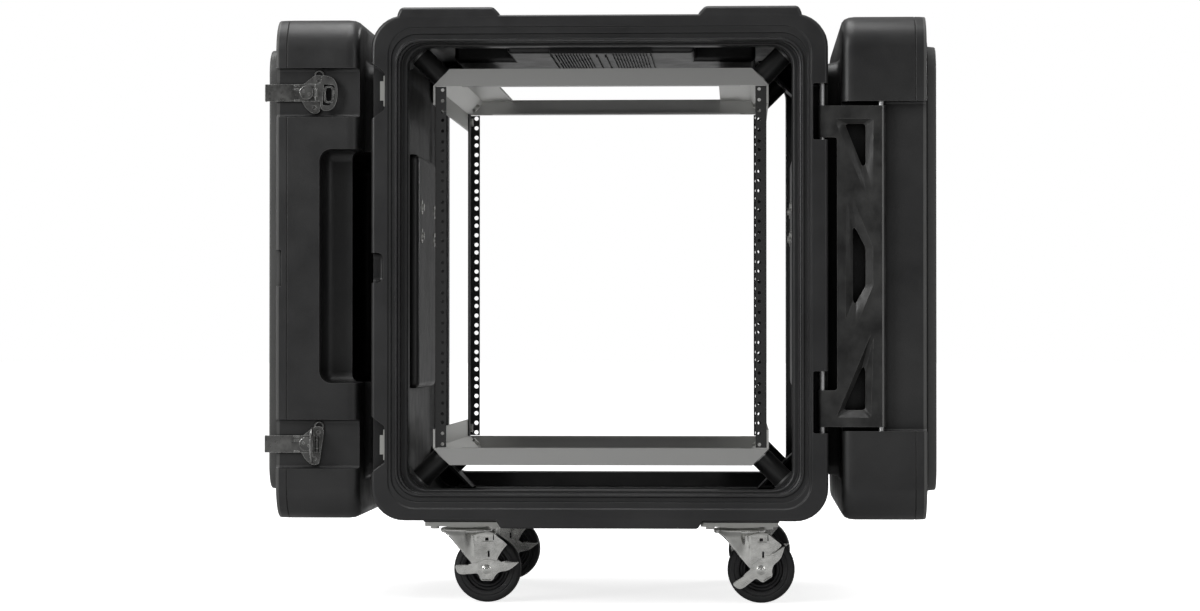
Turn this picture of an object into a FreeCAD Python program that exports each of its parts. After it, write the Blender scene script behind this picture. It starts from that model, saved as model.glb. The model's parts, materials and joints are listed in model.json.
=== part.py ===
import FreeCAD, Part
import os
import re
import Sketcher
from FreeCAD import Placement, Rotation, Vector

# Shock-mounted 12-unit equipment rack case, in millimetres.
# Origin on the floor under the middle of the case, +Z up, front of the case towards -Y.
# The case, its doors and its latches repeat themselves after a half turn about Z, so the rear
# door is the front door turned half round. Both doors are docked along the case's sides.

DIMENSIONS = (
    ("case_half_depth", 350.0, "rim face to the middle of the case"),
    ("case_half_width", 332.0, "rim half width"),
    ("case_half_height", 367.75, "rim half height"),
    ("case_mid_height", 495.25, "middle of the rim above the floor"),
    ("case_corner_radius", 48.0, "outer corners of rim and doors"),
    ("rim_depth", 42.0, "depth of the thick rim at each end"),
    ("side_wall_inset", 24.0, "side wall behind the rim"),
    ("top_wall_inset", 10.0, "top and bottom wall behind the rim"),
    ("wall_thickness", 7.0, "moulded plastic wall"),
    ("throat_half_width", 280.0, "clear opening at the rim"),
    ("throat_half_height", 323.0, "clear opening at the rim"),
    ("throat_depth", 50.0, "depth of the rim's inner collar"),
    ("throat_radius", 30.0, "corners of the clear opening"),
    ("ledge_half_width", 294.0, "step that takes the door's tongue"),
    ("ledge_half_height", 329.75, "step that takes the door's tongue"),
    ("ledge_depth", 20.0, "step that takes the door's tongue"),
    ("seal_groove_depth", 4.0, "groove in the rim face for the door seal"),
    ("seal_groove_width", 7.0, "groove in the rim face for the door seal"),
    ("seal_groove_outset", 2.0, "plastic left between step and groove"),
    ("pad_inner_width", 143.0, "stacking pad, foot of its inner slope"),
    ("pad_outer_width", 295.0, "stacking pad, foot of its outer slope"),
    ("pad_slope", 11.0, "stacking pad, run of its slopes"),
    ("pad_rise", 11.6, "stacking pad above the rim"),
    ("pad_length", 200.0, "stacking pad along the depth"),
    ("ridge_half_width", 143.0, "stacking ridge under the case, at its foot"),
    ("ridge_slope", 7.0, "stacking ridge, run of its slopes"),
    ("ridge_drop", 11.0, "stacking ridge below the rim"),
    ("pocket_half_length", 123.0, "handle pocket along the depth"),
    ("pocket_half_height", 172.0, "handle pocket"),
    ("pocket_depth", 17.0, "handle pocket"),
    ("pocket_radius", 22.0, "handle pocket corners"),
    ("keeper_height", 257.5, "latches above and below the case's middle"),
    ("keeper_notch_depth", 20.0, "keeper recess in the rim edge"),
    ("keeper_notch_run", 32.0, "keeper recess behind the rim face"),
    ("keeper_mouth", 42.0, "half height of the keeper recess at its mouth"),
    ("keeper_floor", 27.0, "half height of the keeper recess at its floor"),
    ("keeper_sheet", 2.0, "keeper plate sheet"),
    ("keeper_lip", 5.0, "keeper lip standing off its plate"),
    ("keeper_half_length", 14.0, "keeper lip half length"),
    ("keeper_base_extra", 8.0, "keeper base past each end of its lip"),
    ("keeper_run", 28.0, "keeper base along the depth"),
    ("keeper_back", 2.0, "keeper behind the rim face"),
    ("keeper_lip_sheet", 3.0, "keeper lip"),
    ("grip_notch_half", 22.0, "finger notch at the middle of the rim edge"),
    ("grip_notch_depth", 18.0, "finger notch at the middle of the rim edge"),
    ("hinge_pin_radius", 4.0, "hinge pins"),
    ("running_gap", 0.05, "radial clearance of a running pin"),
    ("body_pin_inset", 8.5, "body hinge pin in from the rim's side"),
    ("body_pin_back", 19.0, "body hinge pin behind the rim face"),
    ("link_length", 85.5, "hinge link, pin to pin"),
    ("link_thickness", 14.0, "hinge link"),
    ("link_bottom", 264.0, "hinge link above the floor"),
    ("link_top", 730.0, "hinge link above the floor"),
    ("link_tab_reach", 21.5, "tab between the link's plate and the body pin"),
    ("link_tab_high", 684.0, "underside of the upper tab"),
    ("link_tab_low", 317.0, "top of the lower tab"),
    ("hinge_notch_depth", 22.0, "hinge recess in the rim edge"),
    ("hinge_notch_run", 31.0, "hinge recess behind the rim face"),
    ("hinge_notch_high_bottom", 680.0, "upper hinge recess"),
    ("hinge_notch_high_top", 762.0, "upper hinge recess"),
    ("hinge_notch_low_bottom", 255.0, "lower hinge recess"),
    ("hinge_notch_low_top", 345.0, "lower hinge recess"),
    ("pin_end_cover", 9.0, "pin length held by the plastic at each end"),
    ("door_depth", 123.0, "door, flange plane to outer face"),
    ("door_pin_depth", 66.0, "door pin from the flange plane"),
    ("flange_notch_half", 27.0, "finger notch in the door's flange"),
    ("flange_notch_depth", 8.0, "finger notch in the door's flange"),
    ("door_recess_bottom", 258.0, "hinge recess of the door"),
    ("door_recess_top", 743.0, "hinge recess of the door"),
    ("door_recess_depth", 18.0, "hinge recess of the door"),
    ("door_crown", 25.0, "raised middle panel of the door"),
    ("door_crown_inset", 60.0, "raised middle panel in from the door's edges"),
    ("door_crown_radius", 30.0, "raised middle panel corners"),
    ("tongue_side_inset", 40.5, "door tongue in from the door's side"),
    ("tongue_top_inset", 40.75, "door tongue in from the door's top"),
    ("tongue_length", 16.0, "door tongue past the flange plane"),
    ("tongue_wall", 8.0, "door tongue"),
    ("latch_recess_half", 36.0, "latch recess half height"),
    ("latch_recess_depth", 10.0, "latch recess"),
    ("latch_recess_run", 103.0, "latch recess from the flange plane"),
    ("scoop_bottom", 327.0, "hand scoop in the door"),
    ("scoop_top", 670.0, "hand scoop in the door"),
    ("scoop_depth", 59.0, "hand scoop in the door"),
    ("scoop_run", 460.0, "hand scoop along the door"),
    ("scoop_radius", 18.0, "hand scoop corners"),
    ("seal_radius", 3.0, "door seal cord"),
    ("seal_side_gap", 2.0, "between the seal and the groove's outer wall"),
    ("frame_half_width", 246.3, "rack frame"),
    ("frame_half_depth", 300.0, "rack frame"),
    ("frame_bottom", 206.5, "rack frame above the floor"),
    ("frame_top", 788.5, "rack frame above the floor"),
    ("frame_corner", 24.5, "45 degree corners of the frame"),
    ("beam_height", 25.0, "cross beam face"),
    ("beam_sheet", 3.0, "cross beam wall"),
    ("beam_return", 22.0, "cross beam's folded flange"),
    ("beam_return_half", 205.0, "cross beam's folded flange half length"),
    ("corner_sheet", 3.0, "corner extrusion wall"),
    ("corner_side_leg", 28.0, "corner extrusion, upright flange"),
    ("corner_flat_leg", 50.0, "corner extrusion, level flange"),
    ("rail_sheet", 2.0, "rack rail steel"),
    ("rail_inner", 227.0, "inner edge of a rack rail's face"),
    ("rail_outer", 243.2, "outer face of a rack rail's leg"),
    ("rail_leg", 42.0, "rack rail's leg along the depth"),
    ("rail_end_gap", 1.0, "between a rail's end and the cross beam"),
    ("rail_hole_column", 232.55, "rack holes from the middle of the rack"),
    ("rack_unit", 44.45, "height of one rack unit"),
    ("rack_unit_count", 12.0, "rack units"),
    ("rack_hole_edge", 6.35, "unit edge to its first hole"),
    ("rack_hole_step", 15.875, "between the three holes of a unit"),
    ("front_hole_radius", 2.5, "tapped holes of the front rails"),
    ("rear_hole_radius", 3.5, "clearance holes of the rear rails"),
    ("mount_radius", 16.0, "shock mount rubber"),
    ("mount_length", 44.0, "shock mount rubber"),
    ("mount_sheet", 2.5, "shock mount end plates"),
    ("mount_inset", 34.0, "shock mount axis behind the frame's face"),
    ("bracket_sheet", 4.0, "corner bracket of the case"),
    ("bracket_half_length", 33.0, "corner bracket along the depth"),
    ("bracket_flange", 18.0, "corner bracket flanges on the walls"),
    ("bolt_radius", 4.0, "frame bolts"),
    ("bolt_head_radius", 6.5, "frame bolt heads"),
    ("bolt_head_height", 4.5, "frame bolt heads"),
    ("handle_pivot_depth", 7.0, "handle pivot in from the side wall"),
    ("handle_pivot_height", 572.0, "handle pivot above the floor"),
    ("handle_reach", 90.0, "handle pivot to the middle of the grip"),
    ("handle_grip_radius", 7.0, "handle grip"),
    ("handle_half_length", 75.0, "handle grip half length"),
    ("handle_arm_half", 5.0, "half thickness of a handle arm"),
    ("handle_pin_radius", 4.0, "handle pivot stubs"),
    ("handle_plate_half_length", 112.0, "handle base plate"),
    ("handle_plate_half_height", 34.0, "handle base plate"),
    ("handle_bolt_along", 97.0, "handle bolts from the handle's middle"),
    ("handle_bolt_up", 22.0, "handle bolts above and below the pivot"),
    ("handle_bolt_radius", 3.0, "handle bolts"),
    ("washer_radius", 11.0, "handle bolt washers inside the case"),
    ("handle_plate_sheet", 2.0, "handle base plate"),
    ("handle_ear_gap", 1.0, "between an arm and its ear"),
    ("handle_ear_sheet", 3.0, "handle base ears"),
    ("handle_ear_half", 12.0, "handle base ears, half height"),
    ("handle_ear_past", 6.0, "handle base ears past the pivot axis"),
    ("handle_head_radius", 5.5, "handle bolt heads and nuts"),
    ("handle_head_height", 3.0, "handle bolt heads and nuts"),
    ("washer_sheet", 1.5, "handle bolt washers"),
    ("caster_x", 203.5, "caster swivel axis from the middle"),
    ("caster_y", 222.0, "caster swivel axis from the middle"),
    ("caster_trail", 32.0, "swivel axis to wheel axle"),
    ("wheel_radius", 50.0, "caster wheel"),
    ("wheel_half_width", 16.0, "caster wheel"),
    ("tread_inner_radius", 35.0, "rubber tread"),
    ("hub_bore_radius", 4.05, "wheel bore on its axle"),
    ("axle_radius", 4.0, "wheel axle"),
    ("plate_top", 121.5, "top of the caster plate"),
    ("plate_half", 57.0, "caster plate half width"),
    ("plate_sheet", 6.0, "caster plate"),
    ("plate_hole_radius", 4.5, "caster plate bolt holes"),
    ("plate_hole_offset", 43.0, "caster plate bolt holes from its middle"),
    ("race_radius", 29.0, "fixed swivel race"),
    ("race_height", 4.0, "fixed swivel race"),
    ("crown_radius", 39.0, "fork crown"),
    ("crown_height", 9.0, "fork crown"),
    ("swivel_gap", 0.2, "between the turning and the fixed swivel parts"),
    ("caster_bolt_grip", 20.0, "caster bolt thread in the case"),
    ("caster_bolt_head", 4.0, "caster bolt heads"),
    ("kingpin_radius", 6.0, "kingpin"),
    ("kingpin_head_radius", 10.0, "kingpin head"),
    ("kingpin_head_height", 4.5, "kingpin head"),
    ("fork_gap", 3.5, "wheel face to fork leg"),
    ("fork_sheet", 3.0, "fork leg"),
    ("axle_head_radius", 7.0, "axle head and nut"),
    ("axle_head_height", 3.7, "axle head"),
    ("axle_nut_height", 6.0, "axle nut"),
    ("lever_gap", 0.3, "between brake lever, fork leg and axle head"),
    ("lever_sheet", 2.5, "brake lever"),
    ("lever_reach", 46.0, "brake lever, axle to tip"),
    ("lever_pad", 9.0, "brake lever's folded foot pad"),
    ("lever_tilt", 33.0, "brake lever, free to locked, in degrees"),
    ("latch_back", 45.0, "latch rotor axis from the flange plane"),
    ("latch_plate_sheet", 2.0, "latch base plate"),
    ("latch_rotor_radius", 10.5, "latch rotor head"),
    ("latch_rotor_height", 6.0, "latch rotor head"),
    ("latch_shaft_radius", 4.5, "latch rotor shaft"),
    ("latch_strap_half", 12.5, "latch hook strap half height"),
    ("latch_strap_sheet", 2.0, "latch hook strap"),
    ("latch_hook_depth", 8.0, "latch hook, inward bend"),
    ("latch_gap", 0.2, "between stacked latch sheets"),
    ("latch_draw", 6.0, "how far the rotor draws the hook in"),
    ("wing_near", 15.0, "latch wing hinge from the rotor axis"),
    ("wing_far", 44.0, "latch wing, far end from the rotor axis"),
    ("wing_half", 17.0, "latch wing half width"),
    ("wing_sheet", 2.5, "latch wing"),
    ("wing_pin_radius", 1.6, "latch wing hinge pin"),
    ("wing_pin_rise", 3.0, "top of the rotor head above the wing's hinge"),
    ("wing_barrel_half", 12.0, "latch wing hinge half length"),
    ("latch_lug_half", 6.0, "rotor lug that carries the wing's hinge"),
    ("latch_lug_rise", 0.8, "top of the lug's neck above the wing's hinge"),
    ("latch_ring_radius", 7.5, "padlock ring"),
    ("latch_ring_hole_radius", 4.0, "padlock hole"),
    ("latch_rivet_radius", 2.5, "latch plate rivets"),
    ("wing_barrel_radius", 2.8, "latch wing barrel"),
    ("wing_web_start", 1.0, "latch wing web, from the wing's hinge"),
    ("wing_web_end", 5.5, "latch wing web, from the wing's hinge"),
    ("wing_hole_radius", 6.5, "oblong hole of the latch wing"),
    ("wing_hole_shift", 4.0, "oblong hole of the latch wing, half its straight part"),
    ("wing_hole_past", 3.0, "oblong hole past the middle of the wing"),
)

HALF_TURN = Rotation(Vector(0, 0, 1), 180)
NO_TURN = Rotation()
PAD_SIDES = ((-1, -1), (-1, 1), (1, -1), (1, 1))
HEIGHT_SIDES = (("upper", 1), ("lower", -1))
CASTERS = (("front_left", -1, -1), ("front_right", 1, -1), ("rear_left", -1, 1), ("rear_right", 1, 1))

doc = FreeCAD.newDocument("RackCase")
nodes = []


def fill_sheet():
    """Write every driving dimension into the spreadsheet and name its cell."""
    sheet = doc.addObject("Spreadsheet::Sheet", "Dims")
    for row, (alias, size, note) in enumerate(DIMENSIONS, start=1):
        sheet.set(f"A{row}", note)
        sheet.set(f"B{row}", str(size))
        sheet.setAlias(f"B{row}", alias)
    doc.recompute()
    return sheet


dims = fill_sheet()


def sized(text):
    """Turn dimension names in an expression into references to the sheet."""
    return re.sub(r"[a-z]+(?:_[a-z0-9]+)+", lambda word: "Dims." + word.group(0), str(text))


def value(text):
    """The number an expression gives now."""
    return float(dims.evalExpression(sized(text)))


def move_to(thing, place):
    """Bind an object's position to three expressions."""
    for axis, text in zip("xyz", place):
        thing.setExpression(f".Placement.Base.{axis}", sized(text))


def box(name, x, y, z):
    """A box between a low and a high expression along each axis."""
    block = doc.addObject("Part::Box", name)
    for prop, (low, high) in zip(("Length", "Width", "Height"), (x, y, z)):
        block.setExpression(prop, sized(f"({high}) - ({low})"))
    move_to(block, [low for low, high in (x, y, z)])
    return block


AXIS_TURNS = {"x": Rotation(Vector(0, 1, 0), 90), "y": Rotation(Vector(1, 0, 0), -90), "z": NO_TURN}


def rod(name, axis, centre, radius, low, high):
    """A cylinder along one axis; centre is its place on the other two axes, in X, Y, Z order."""
    bar = doc.addObject("Part::Cylinder", name)
    bar.setExpression("Radius", sized(radius))
    bar.setExpression("Height", sized(f"({high}) - ({low})"))
    bar.Placement = Placement(Vector(), AXIS_TURNS[axis])
    place = list(centre)
    place.insert("xyz".index(axis), low)
    move_to(bar, place)
    return bar


def origin_plane(body, role):
    """One of the body's own origin planes."""
    return [plane for plane in body.Origin.OriginFeatures if plane.Role == role][0]


def draw_outline(body, name, role, outline):
    """A closed sketch outline whose corner coordinates are all bound to expressions."""
    sketch = body.newObject("Sketcher::SketchObject", name)
    sketch.AttachmentSupport = [(origin_plane(body, role), "")]
    sketch.MapMode = "FlatFace"
    corners = [Vector(value(across), value(up), 0) for across, up in outline]
    count = len(corners)
    for index in range(count):
        sketch.addGeometry(Part.LineSegment(corners[index], corners[(index + 1) % count]), False)
    for index in range(count):
        sketch.addConstraint(Sketcher.Constraint("Coincident", index, 2, (index + 1) % count, 1))
    for index, texts in enumerate(outline):
        for kind, text, size in zip(("DistanceX", "DistanceY"), texts, corners[index]):
            row = sketch.addConstraint(Sketcher.Constraint(kind, -1, 1, index, 1, size))
            sketch.setExpression(f"Constraints[{row}]", sized(text))
    return sketch


PLANE_ROLES = {"x": "YZ_Plane", "y": "XZ_Plane", "z": "XY_Plane"}


def prism(name, axis, outline, low, high, corner_radius=None):
    """A padded outline between two distances along an axis, its long edges rounded if asked."""
    body = doc.addObject("PartDesign::Body", name)
    sketch = draw_outline(body, name + "_outline", PLANE_ROLES[axis], outline)
    along = -1 if axis == "y" else 1
    sketch.setExpression(".AttachmentOffset.Base.z", sized(f"{along} * ({low})"))
    pad = body.newObject("PartDesign::Pad", name + "_pad")
    pad.Profile = sketch
    pad.setExpression("Length", sized(f"({high}) - ({low})"))
    pad.Reversed = axis == "y"
    doc.recompute()
    if corner_radius is not None:
        fillet = body.newObject("PartDesign::Fillet", name + "_round")
        fillet.Base = (pad, edges_along(pad.Shape, axis))
        fillet.setExpression("Radius", sized(corner_radius))
        doc.recompute()
    return body


def edges_along(shape, axis):
    """Names of the straight edges that run along an axis."""
    direction = Vector(*[float(letter == axis) for letter in "xyz"])
    found = []
    for number, edge in enumerate(shape.Edges, start=1):
        if abs(edge.tangentAt(edge.FirstParameter).dot(direction)) > 0.999:
            found.append(f"Edge{number}")
    return found


def rectangle(across, up):
    """Corner list of a rectangle from two low and high pairs."""
    (left, right), (bottom, top) = across, up
    return [(left, bottom), (right, bottom), (right, top), (left, top)]


def fuse(name, pieces):
    """One solid from several."""
    joined = doc.addObject("Part::MultiFuse", name)
    joined.Shapes = pieces
    joined.Refine = True
    return joined


def cut(name, base, tools):
    """The base with every tool taken out of it."""
    tool = tools[0] if len(tools) == 1 else fuse(name + "_tools", tools)
    result = doc.addObject("Part::Cut", name)
    result.Base = base
    result.Tool = tool
    return result


def group(name, pieces):
    """Separate solids that share one node."""
    bundle = doc.addObject("Part::Compound", name)
    bundle.Links = pieces
    return bundle


def node(label, piece, turn=NO_TURN, place=None):
    """Name a finished sub-part, put it in its place and list it for export."""
    piece.Label = label
    piece.Placement = Placement(Vector(), turn)
    if place is not None:
        move_to(piece, place)
    nodes.append(piece)


def both_ways(text):
    """The range from minus to plus an expression."""
    return (f"-({text})", text)


def in_order(one, other):
    """Two expressions, the smaller first."""
    return tuple(sorted((one, other), key=value))


# Moulded case

def rim_slab(name, half_width, half_height, radius, low, high):
    """A rounded rectangle about the case's middle line, between two depths."""
    height = (f"case_mid_height - ({half_height})", f"case_mid_height + ({half_height})")
    return prism(name, "y", rectangle(both_ways(half_width), height), low, high, radius)


def stacking_pads():
    """Four raised pads on top that leave a cross-shaped channel between them."""
    pads = []
    foot = "case_mid_height + case_half_height - top_wall_inset - 2"
    top = "case_mid_height + case_half_height + pad_rise"
    shoulder = "case_mid_height + case_half_height"
    for side in (-1, 1):
        outline = [
            (f"{side} * pad_inner_width", foot),
            (f"{side} * pad_outer_width", foot),
            (f"{side} * pad_outer_width", shoulder),
            (f"{side} * (pad_outer_width - pad_slope / 2)", top),
            (f"{side} * (pad_inner_width + pad_slope)", top),
            (f"{side} * pad_inner_width", shoulder),
        ]
        for end in (-1, 1):
            ends = in_order(f"{end} * case_half_depth", f"{end} * (case_half_depth - pad_length)")
            pads.append(prism(f"pad_{len(pads)}", "y", outline, ends[0], ends[1]))
    return pads


def stacking_ridge():
    """Cross-shaped ridge and four caster seats under the case."""
    floor = "case_mid_height - case_half_height - ridge_drop"
    skin = "case_mid_height - case_half_height + top_wall_inset + 3"
    width = both_ways("ridge_half_width")
    wide = "ridge_half_width + ridge_slope"
    rim_bottom = "case_mid_height - case_half_height"
    outline = [
        ("-ridge_half_width", floor),
        ("ridge_half_width", floor),
        (wide, rim_bottom),
        (wide, skin),
        (f"-({wide})", skin),
        (f"-({wide})", rim_bottom),
    ]
    pieces = [
        prism("ridge_along", "y", outline, *both_ways("case_half_depth")),
        box("ridge_across", both_ways("pad_outer_width"), width, (floor, skin)),
    ]
    for name, side, end in CASTERS:
        across = (f"{side} * caster_x - plate_half", f"{side} * caster_x + plate_half")
        along = (f"{end} * caster_y - plate_half", f"{end} * caster_y + plate_half")
        pieces.append(box(f"seat_{name}", across, along, ("plate_top", skin)))
    return pieces


def handle_pocket(name, side, grow, outward):
    """Block of the handle pocket in one side wall; side -1 is the left wall."""
    along = both_ways(f"pocket_half_length + {grow}")
    half = f"pocket_half_height + {grow}"
    height = (f"case_mid_height - ({half})", f"case_mid_height + ({half})")
    wall = "case_half_width - side_wall_inset"
    depth = in_order(f"{side} * ({wall} + {outward})", f"{side} * ({wall} - pocket_depth - {grow})")
    return prism(name, "x", rectangle(along, height), depth[0], depth[1], f"pocket_radius + {grow}")


def keeper_notch(name, side, level):
    """Tapered recess in the rim edge for a latch keeper."""
    edge = f"{side} * (case_half_width + 5)"
    floor = f"{side} * (case_half_width - keeper_notch_depth)"
    middle = f"case_mid_height + {level} * keeper_height"
    flare = "keeper_mouth + 5 * (keeper_mouth - keeper_floor) / keeper_notch_depth"
    outline = [
        (edge, f"{middle} - ({flare})"),
        (floor, f"{middle} - keeper_floor"),
        (floor, f"{middle} + keeper_floor"),
        (edge, f"{middle} + ({flare})"),
    ]
    ends = rim_run(side, "keeper_notch_run")
    return prism(name, "y", outline, ends[0], ends[1])


def rim_run(side, run):
    """Depth range from just outside a rim face to some way behind it; side -1 is the front."""
    return in_order(f"{side} * (case_half_depth + 5)", f"{side} * (case_half_depth - {run})")


def rim_edge_box(name, side, end, depth, run, height):
    """Box that cuts a recess into a rim's side edge."""
    across = in_order(f"{side} * (case_half_width + 5)", f"{side} * (case_half_width - {depth})")
    return box(name, across, rim_run(end, run), height)


def body_shell():
    """The moulded case: walls, thick rims, stacking pads and handle pockets."""
    half_depth = both_ways("case_half_depth")
    pieces = [
        rim_slab(
            "case_walls",
            "case_half_width - side_wall_inset",
            "case_half_height - top_wall_inset",
            "case_corner_radius - 8",
            *half_depth,
        ),
    ]
    for name, low, high in (
        ("front_rim", "-case_half_depth", "rim_depth - case_half_depth"),
        ("rear_rim", "case_half_depth - rim_depth", "case_half_depth"),
    ):
        pieces.append(rim_slab(name, "case_half_width", "case_half_height", "case_corner_radius", low, high))
    solid = fuse("case_block", pieces + stacking_pads() + stacking_ridge())

    cavity = rim_slab(
        "case_cavity",
        "case_half_width - side_wall_inset - wall_thickness",
        "case_half_height - top_wall_inset - wall_thickness",
        "case_corner_radius - 15",
        *both_ways("case_half_depth - throat_depth"),
    )
    throat = rim_slab(
        "case_throat", "throat_half_width", "throat_half_height", "throat_radius",
        *both_ways("case_half_depth + 5"),
    )
    steps = [cavity, throat]
    for name, side in (("front", -1), ("rear", 1)):
        ledge = rim_run(side, "ledge_depth")
        steps.append(
            rim_slab(f"{name}_ledge", "ledge_half_width", "ledge_half_height", "throat_radius + 6", *ledge)
        )
        steps.append(seal_groove(name, side))
    hollow = cut("case_hollow", solid, steps)

    liners = [handle_pocket(f"pocket_liner_{side + 1}", side, "wall_thickness", "-1") for side in (-1, 1)]
    lined = fuse("case_lined", [hollow] + liners)
    tools = [handle_pocket(f"pocket_space_{side + 1}", side, "0", "5") for side in (-1, 1)]
    for side in (-1, 1):
        for label, level in HEIGHT_SIDES:
            tools.append(keeper_notch(f"keeper_space_{label}_{side + 1}", side, level))
        grip = ("case_mid_height - grip_notch_half", "case_mid_height + grip_notch_half")
        space = ("grip_notch_depth", "keeper_notch_run", grip)
        tools.append(rim_edge_box(f"grip_space_{side + 1}", side, side, *space))
        for label in ("high", "low"):
            height = (f"hinge_notch_{label}_bottom", f"hinge_notch_{label}_top")
            space = rim_edge_box(
                f"hinge_space_{label}_{side + 1}", -side, side, "hinge_notch_depth", "hinge_notch_run", height
            )
            tools.append(space)
            tools.append(body_pin(f"pin_hole_{label}_{side + 1}", side, label))
    tools.extend(handle_bolt_rods("wall_hole", "handle_bolt_radius", "0 - wall_thickness - 1", "1"))
    thread = ("plate_hole_radius - 0.5", "plate_top - 1", "plate_top + caster_bolt_grip + 10")
    tools.extend(caster_bolt_rods("seat_hole", *thread))
    node("body_shell", cut("body_shell", lined, tools))


def seal_groove(name, side):
    """Groove round the step, in the rim face, where the door seal presses."""
    inner = ("ledge_half_width + seal_groove_outset", "ledge_half_height + seal_groove_outset")
    outer = [f"{half} + seal_groove_width" for half in inner]
    run = rim_run(side, "seal_groove_depth")
    ring = rim_slab(f"{name}_groove_outer", outer[0], outer[1], "throat_radius + 15", *run)
    core = rim_slab(f"{name}_groove_core", inner[0], inner[1], "throat_radius + 8", *run)
    return cut(f"{name}_groove", ring, [core])


def body_pin(name, side, label):
    """Hinge pin of the case, held in the rim above and below a hinge recess."""
    across = f"{-side} * (case_half_width - body_pin_inset)"
    along = f"{side} * (case_half_depth - body_pin_back)"
    low = f"hinge_notch_{label}_bottom - pin_end_cover"
    high = f"hinge_notch_{label}_top + pin_end_cover"
    return rod(name, "z", (across, along), "hinge_pin_radius", low, high)


def hinge_body_pins():
    """The four pins of the case, two for each door's link."""
    pins = [
        body_pin(f"hinge_body_pin_{label}_{side + 1}", side, label)
        for side in (-1, 1)
        for label in ("high", "low")
    ]
    node("hinge_body_pins", group("hinge_body_pins", pins))


def keeper_plates():
    """Four steel keepers: a plate on the recess floor with a lip for the hook."""
    plates = []
    for side in (-1, 1):
        floor = "case_half_width - keeper_notch_depth"
        face = f"({floor}) + keeper_sheet"
        for label, level in HEIGHT_SIDES:
            middle = f"case_mid_height + {level} * keeper_height"
            height = (f"{middle} - keeper_half_length", f"{middle} + keeper_half_length")
            tall_half = "keeper_half_length + keeper_base_extra"
            tall = (f"{middle} - ({tall_half})", f"{middle} + {tall_half}")
            across = in_order(f"{side} * ({floor})", f"{side} * ({face})")
            stand = in_order(f"{side} * ({floor})", f"{side} * ({face} + keeper_lip)")
            front = "case_half_depth - keeper_back"
            run = in_order(f"{side} * ({front})", f"{side} * ({front} - keeper_run)")
            lip = in_order(f"{side} * ({front})", f"{side} * ({front} - keeper_lip_sheet)")
            base = box(f"keeper_base_{label}_{side + 1}", across, run, tall)
            edge = box(f"keeper_edge_{label}_{side + 1}", stand, lip, height)
            plates.append(fuse(f"keeper_{label}_{side + 1}", [base, edge]))
    node("keeper_plates", group("keeper_plates", plates))


# Rack frame

def corner_outline(side, level, points):
    """Mirror an outline, given for the upper right frame corner, to another corner."""
    middle = "(frame_bottom + frame_top) / 2"
    return [(f"{side} * ({across})", f"{middle} + {level} * (({up}) - ({middle}))") for across, up in points]


def cross_beams():
    """Four aluminium beams across the front and rear of the frame, ends cut at 45 degrees."""
    beams = []
    for level in (-1, 1):
        low = "frame_top - beam_height"
        outline = corner_outline(1, level, [
            ("-frame_half_width", low),
            ("frame_half_width", low),
            ("frame_half_width - frame_corner", "frame_top"),
            ("frame_corner - frame_half_width", "frame_top"),
        ])
        flange = corner_outline(1, level, [
            ("-beam_return_half", low),
            ("beam_return_half", low),
            ("beam_return_half", f"{low} + beam_sheet"),
            ("-beam_return_half", f"{low} + beam_sheet"),
        ])
        for end in (-1, 1):
            number = len(beams)
            face = in_order(f"{end} * frame_half_depth", f"{end} * (frame_half_depth - beam_sheet)")
            reach = in_order(f"{end} * frame_half_depth", f"{end} * (frame_half_depth - beam_return)")
            plate = prism(f"beam_face_{number}", "y", outline, *face)
            fold = prism(f"beam_fold_{number}", "y", flange, *reach)
            beams.append(fuse(f"beam_{number}", [plate, fold]))
    node("cross_beams", group("cross_beams", beams))


def corner_extrusions():
    """Four aluminium corner profiles that join front and rear, each with a 45 degree web."""
    bevel = "corner_sheet * 0.41421356"
    points = [
        ("frame_half_width", "frame_top - frame_corner - corner_side_leg"),
        ("frame_half_width", "frame_top - frame_corner"),
        ("frame_half_width - frame_corner", "frame_top"),
        ("frame_half_width - frame_corner - corner_flat_leg", "frame_top"),
        ("frame_half_width - frame_corner - corner_flat_leg", "frame_top - corner_sheet"),
        (f"frame_half_width - frame_corner - {bevel}", "frame_top - corner_sheet"),
        ("frame_half_width - corner_sheet", f"frame_top - frame_corner - {bevel}"),
        ("frame_half_width - corner_sheet", "frame_top - frame_corner - corner_side_leg"),
    ]
    profiles = []
    for side, level in PAD_SIDES:
        outline = corner_outline(side, level, points)
        inner = "frame_half_depth - beam_sheet"
        profiles.append(prism(f"corner_{len(profiles)}", "y", outline, *both_ways(inner)))
    node("corner_extrusions", group("corner_extrusions", profiles))


def rail(name, side, end, hole_radius):
    """Angle rail with three holes to each rack unit; end -1 is the front."""
    bottom = "frame_bottom + beam_height + rail_end_gap"
    top = "frame_top - beam_height - rail_end_gap"
    outer = "frame_half_depth - beam_sheet"
    face = in_order(f"{end} * ({outer})", f"{end} * ({outer} - rail_sheet)")
    leg = in_order(f"{end} * ({outer})", f"{end} * ({outer} - rail_leg)")
    wide = in_order(f"{side} * rail_inner", f"{side} * rail_outer")
    front = box(name + "_face", wide, face, (bottom, top))
    across = in_order(f"{side} * rail_outer", f"{side} * (rail_outer - rail_sheet)")
    angle = fuse(name + "_angle", [front, box(name + "_leg", across, leg, (bottom, top))])
    holes = []
    base = "(frame_bottom + frame_top) / 2 - rack_unit * rack_unit_count / 2 + rack_hole_edge"
    run = in_order(f"{end} * ({outer} + 1)", f"{end} * ({outer} - rail_sheet - 1)")
    for unit in range(int(value("rack_unit_count"))):
        for step in range(3):
            up = f"{base} + {unit} * rack_unit + {step} * rack_hole_step"
            centre = (f"{side} * rail_hole_column", up)
            holes.append(rod(f"{name}_hole_{unit}_{step}", "y", centre, hole_radius, *run))
    return cut(name, angle, holes)


def rack_rails():
    """Two front rails and two rear rails."""
    for label, end, hole_radius in (("front", -1, "front_hole_radius"), ("rear", 1, "rear_hole_radius")):
        pair = [rail(f"{label}_rail_{side + 1}", side, end, hole_radius) for side in (-1, 1)]
        node(f"{label}_rack_rails", group(f"{label}_rack_rails", pair))


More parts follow.
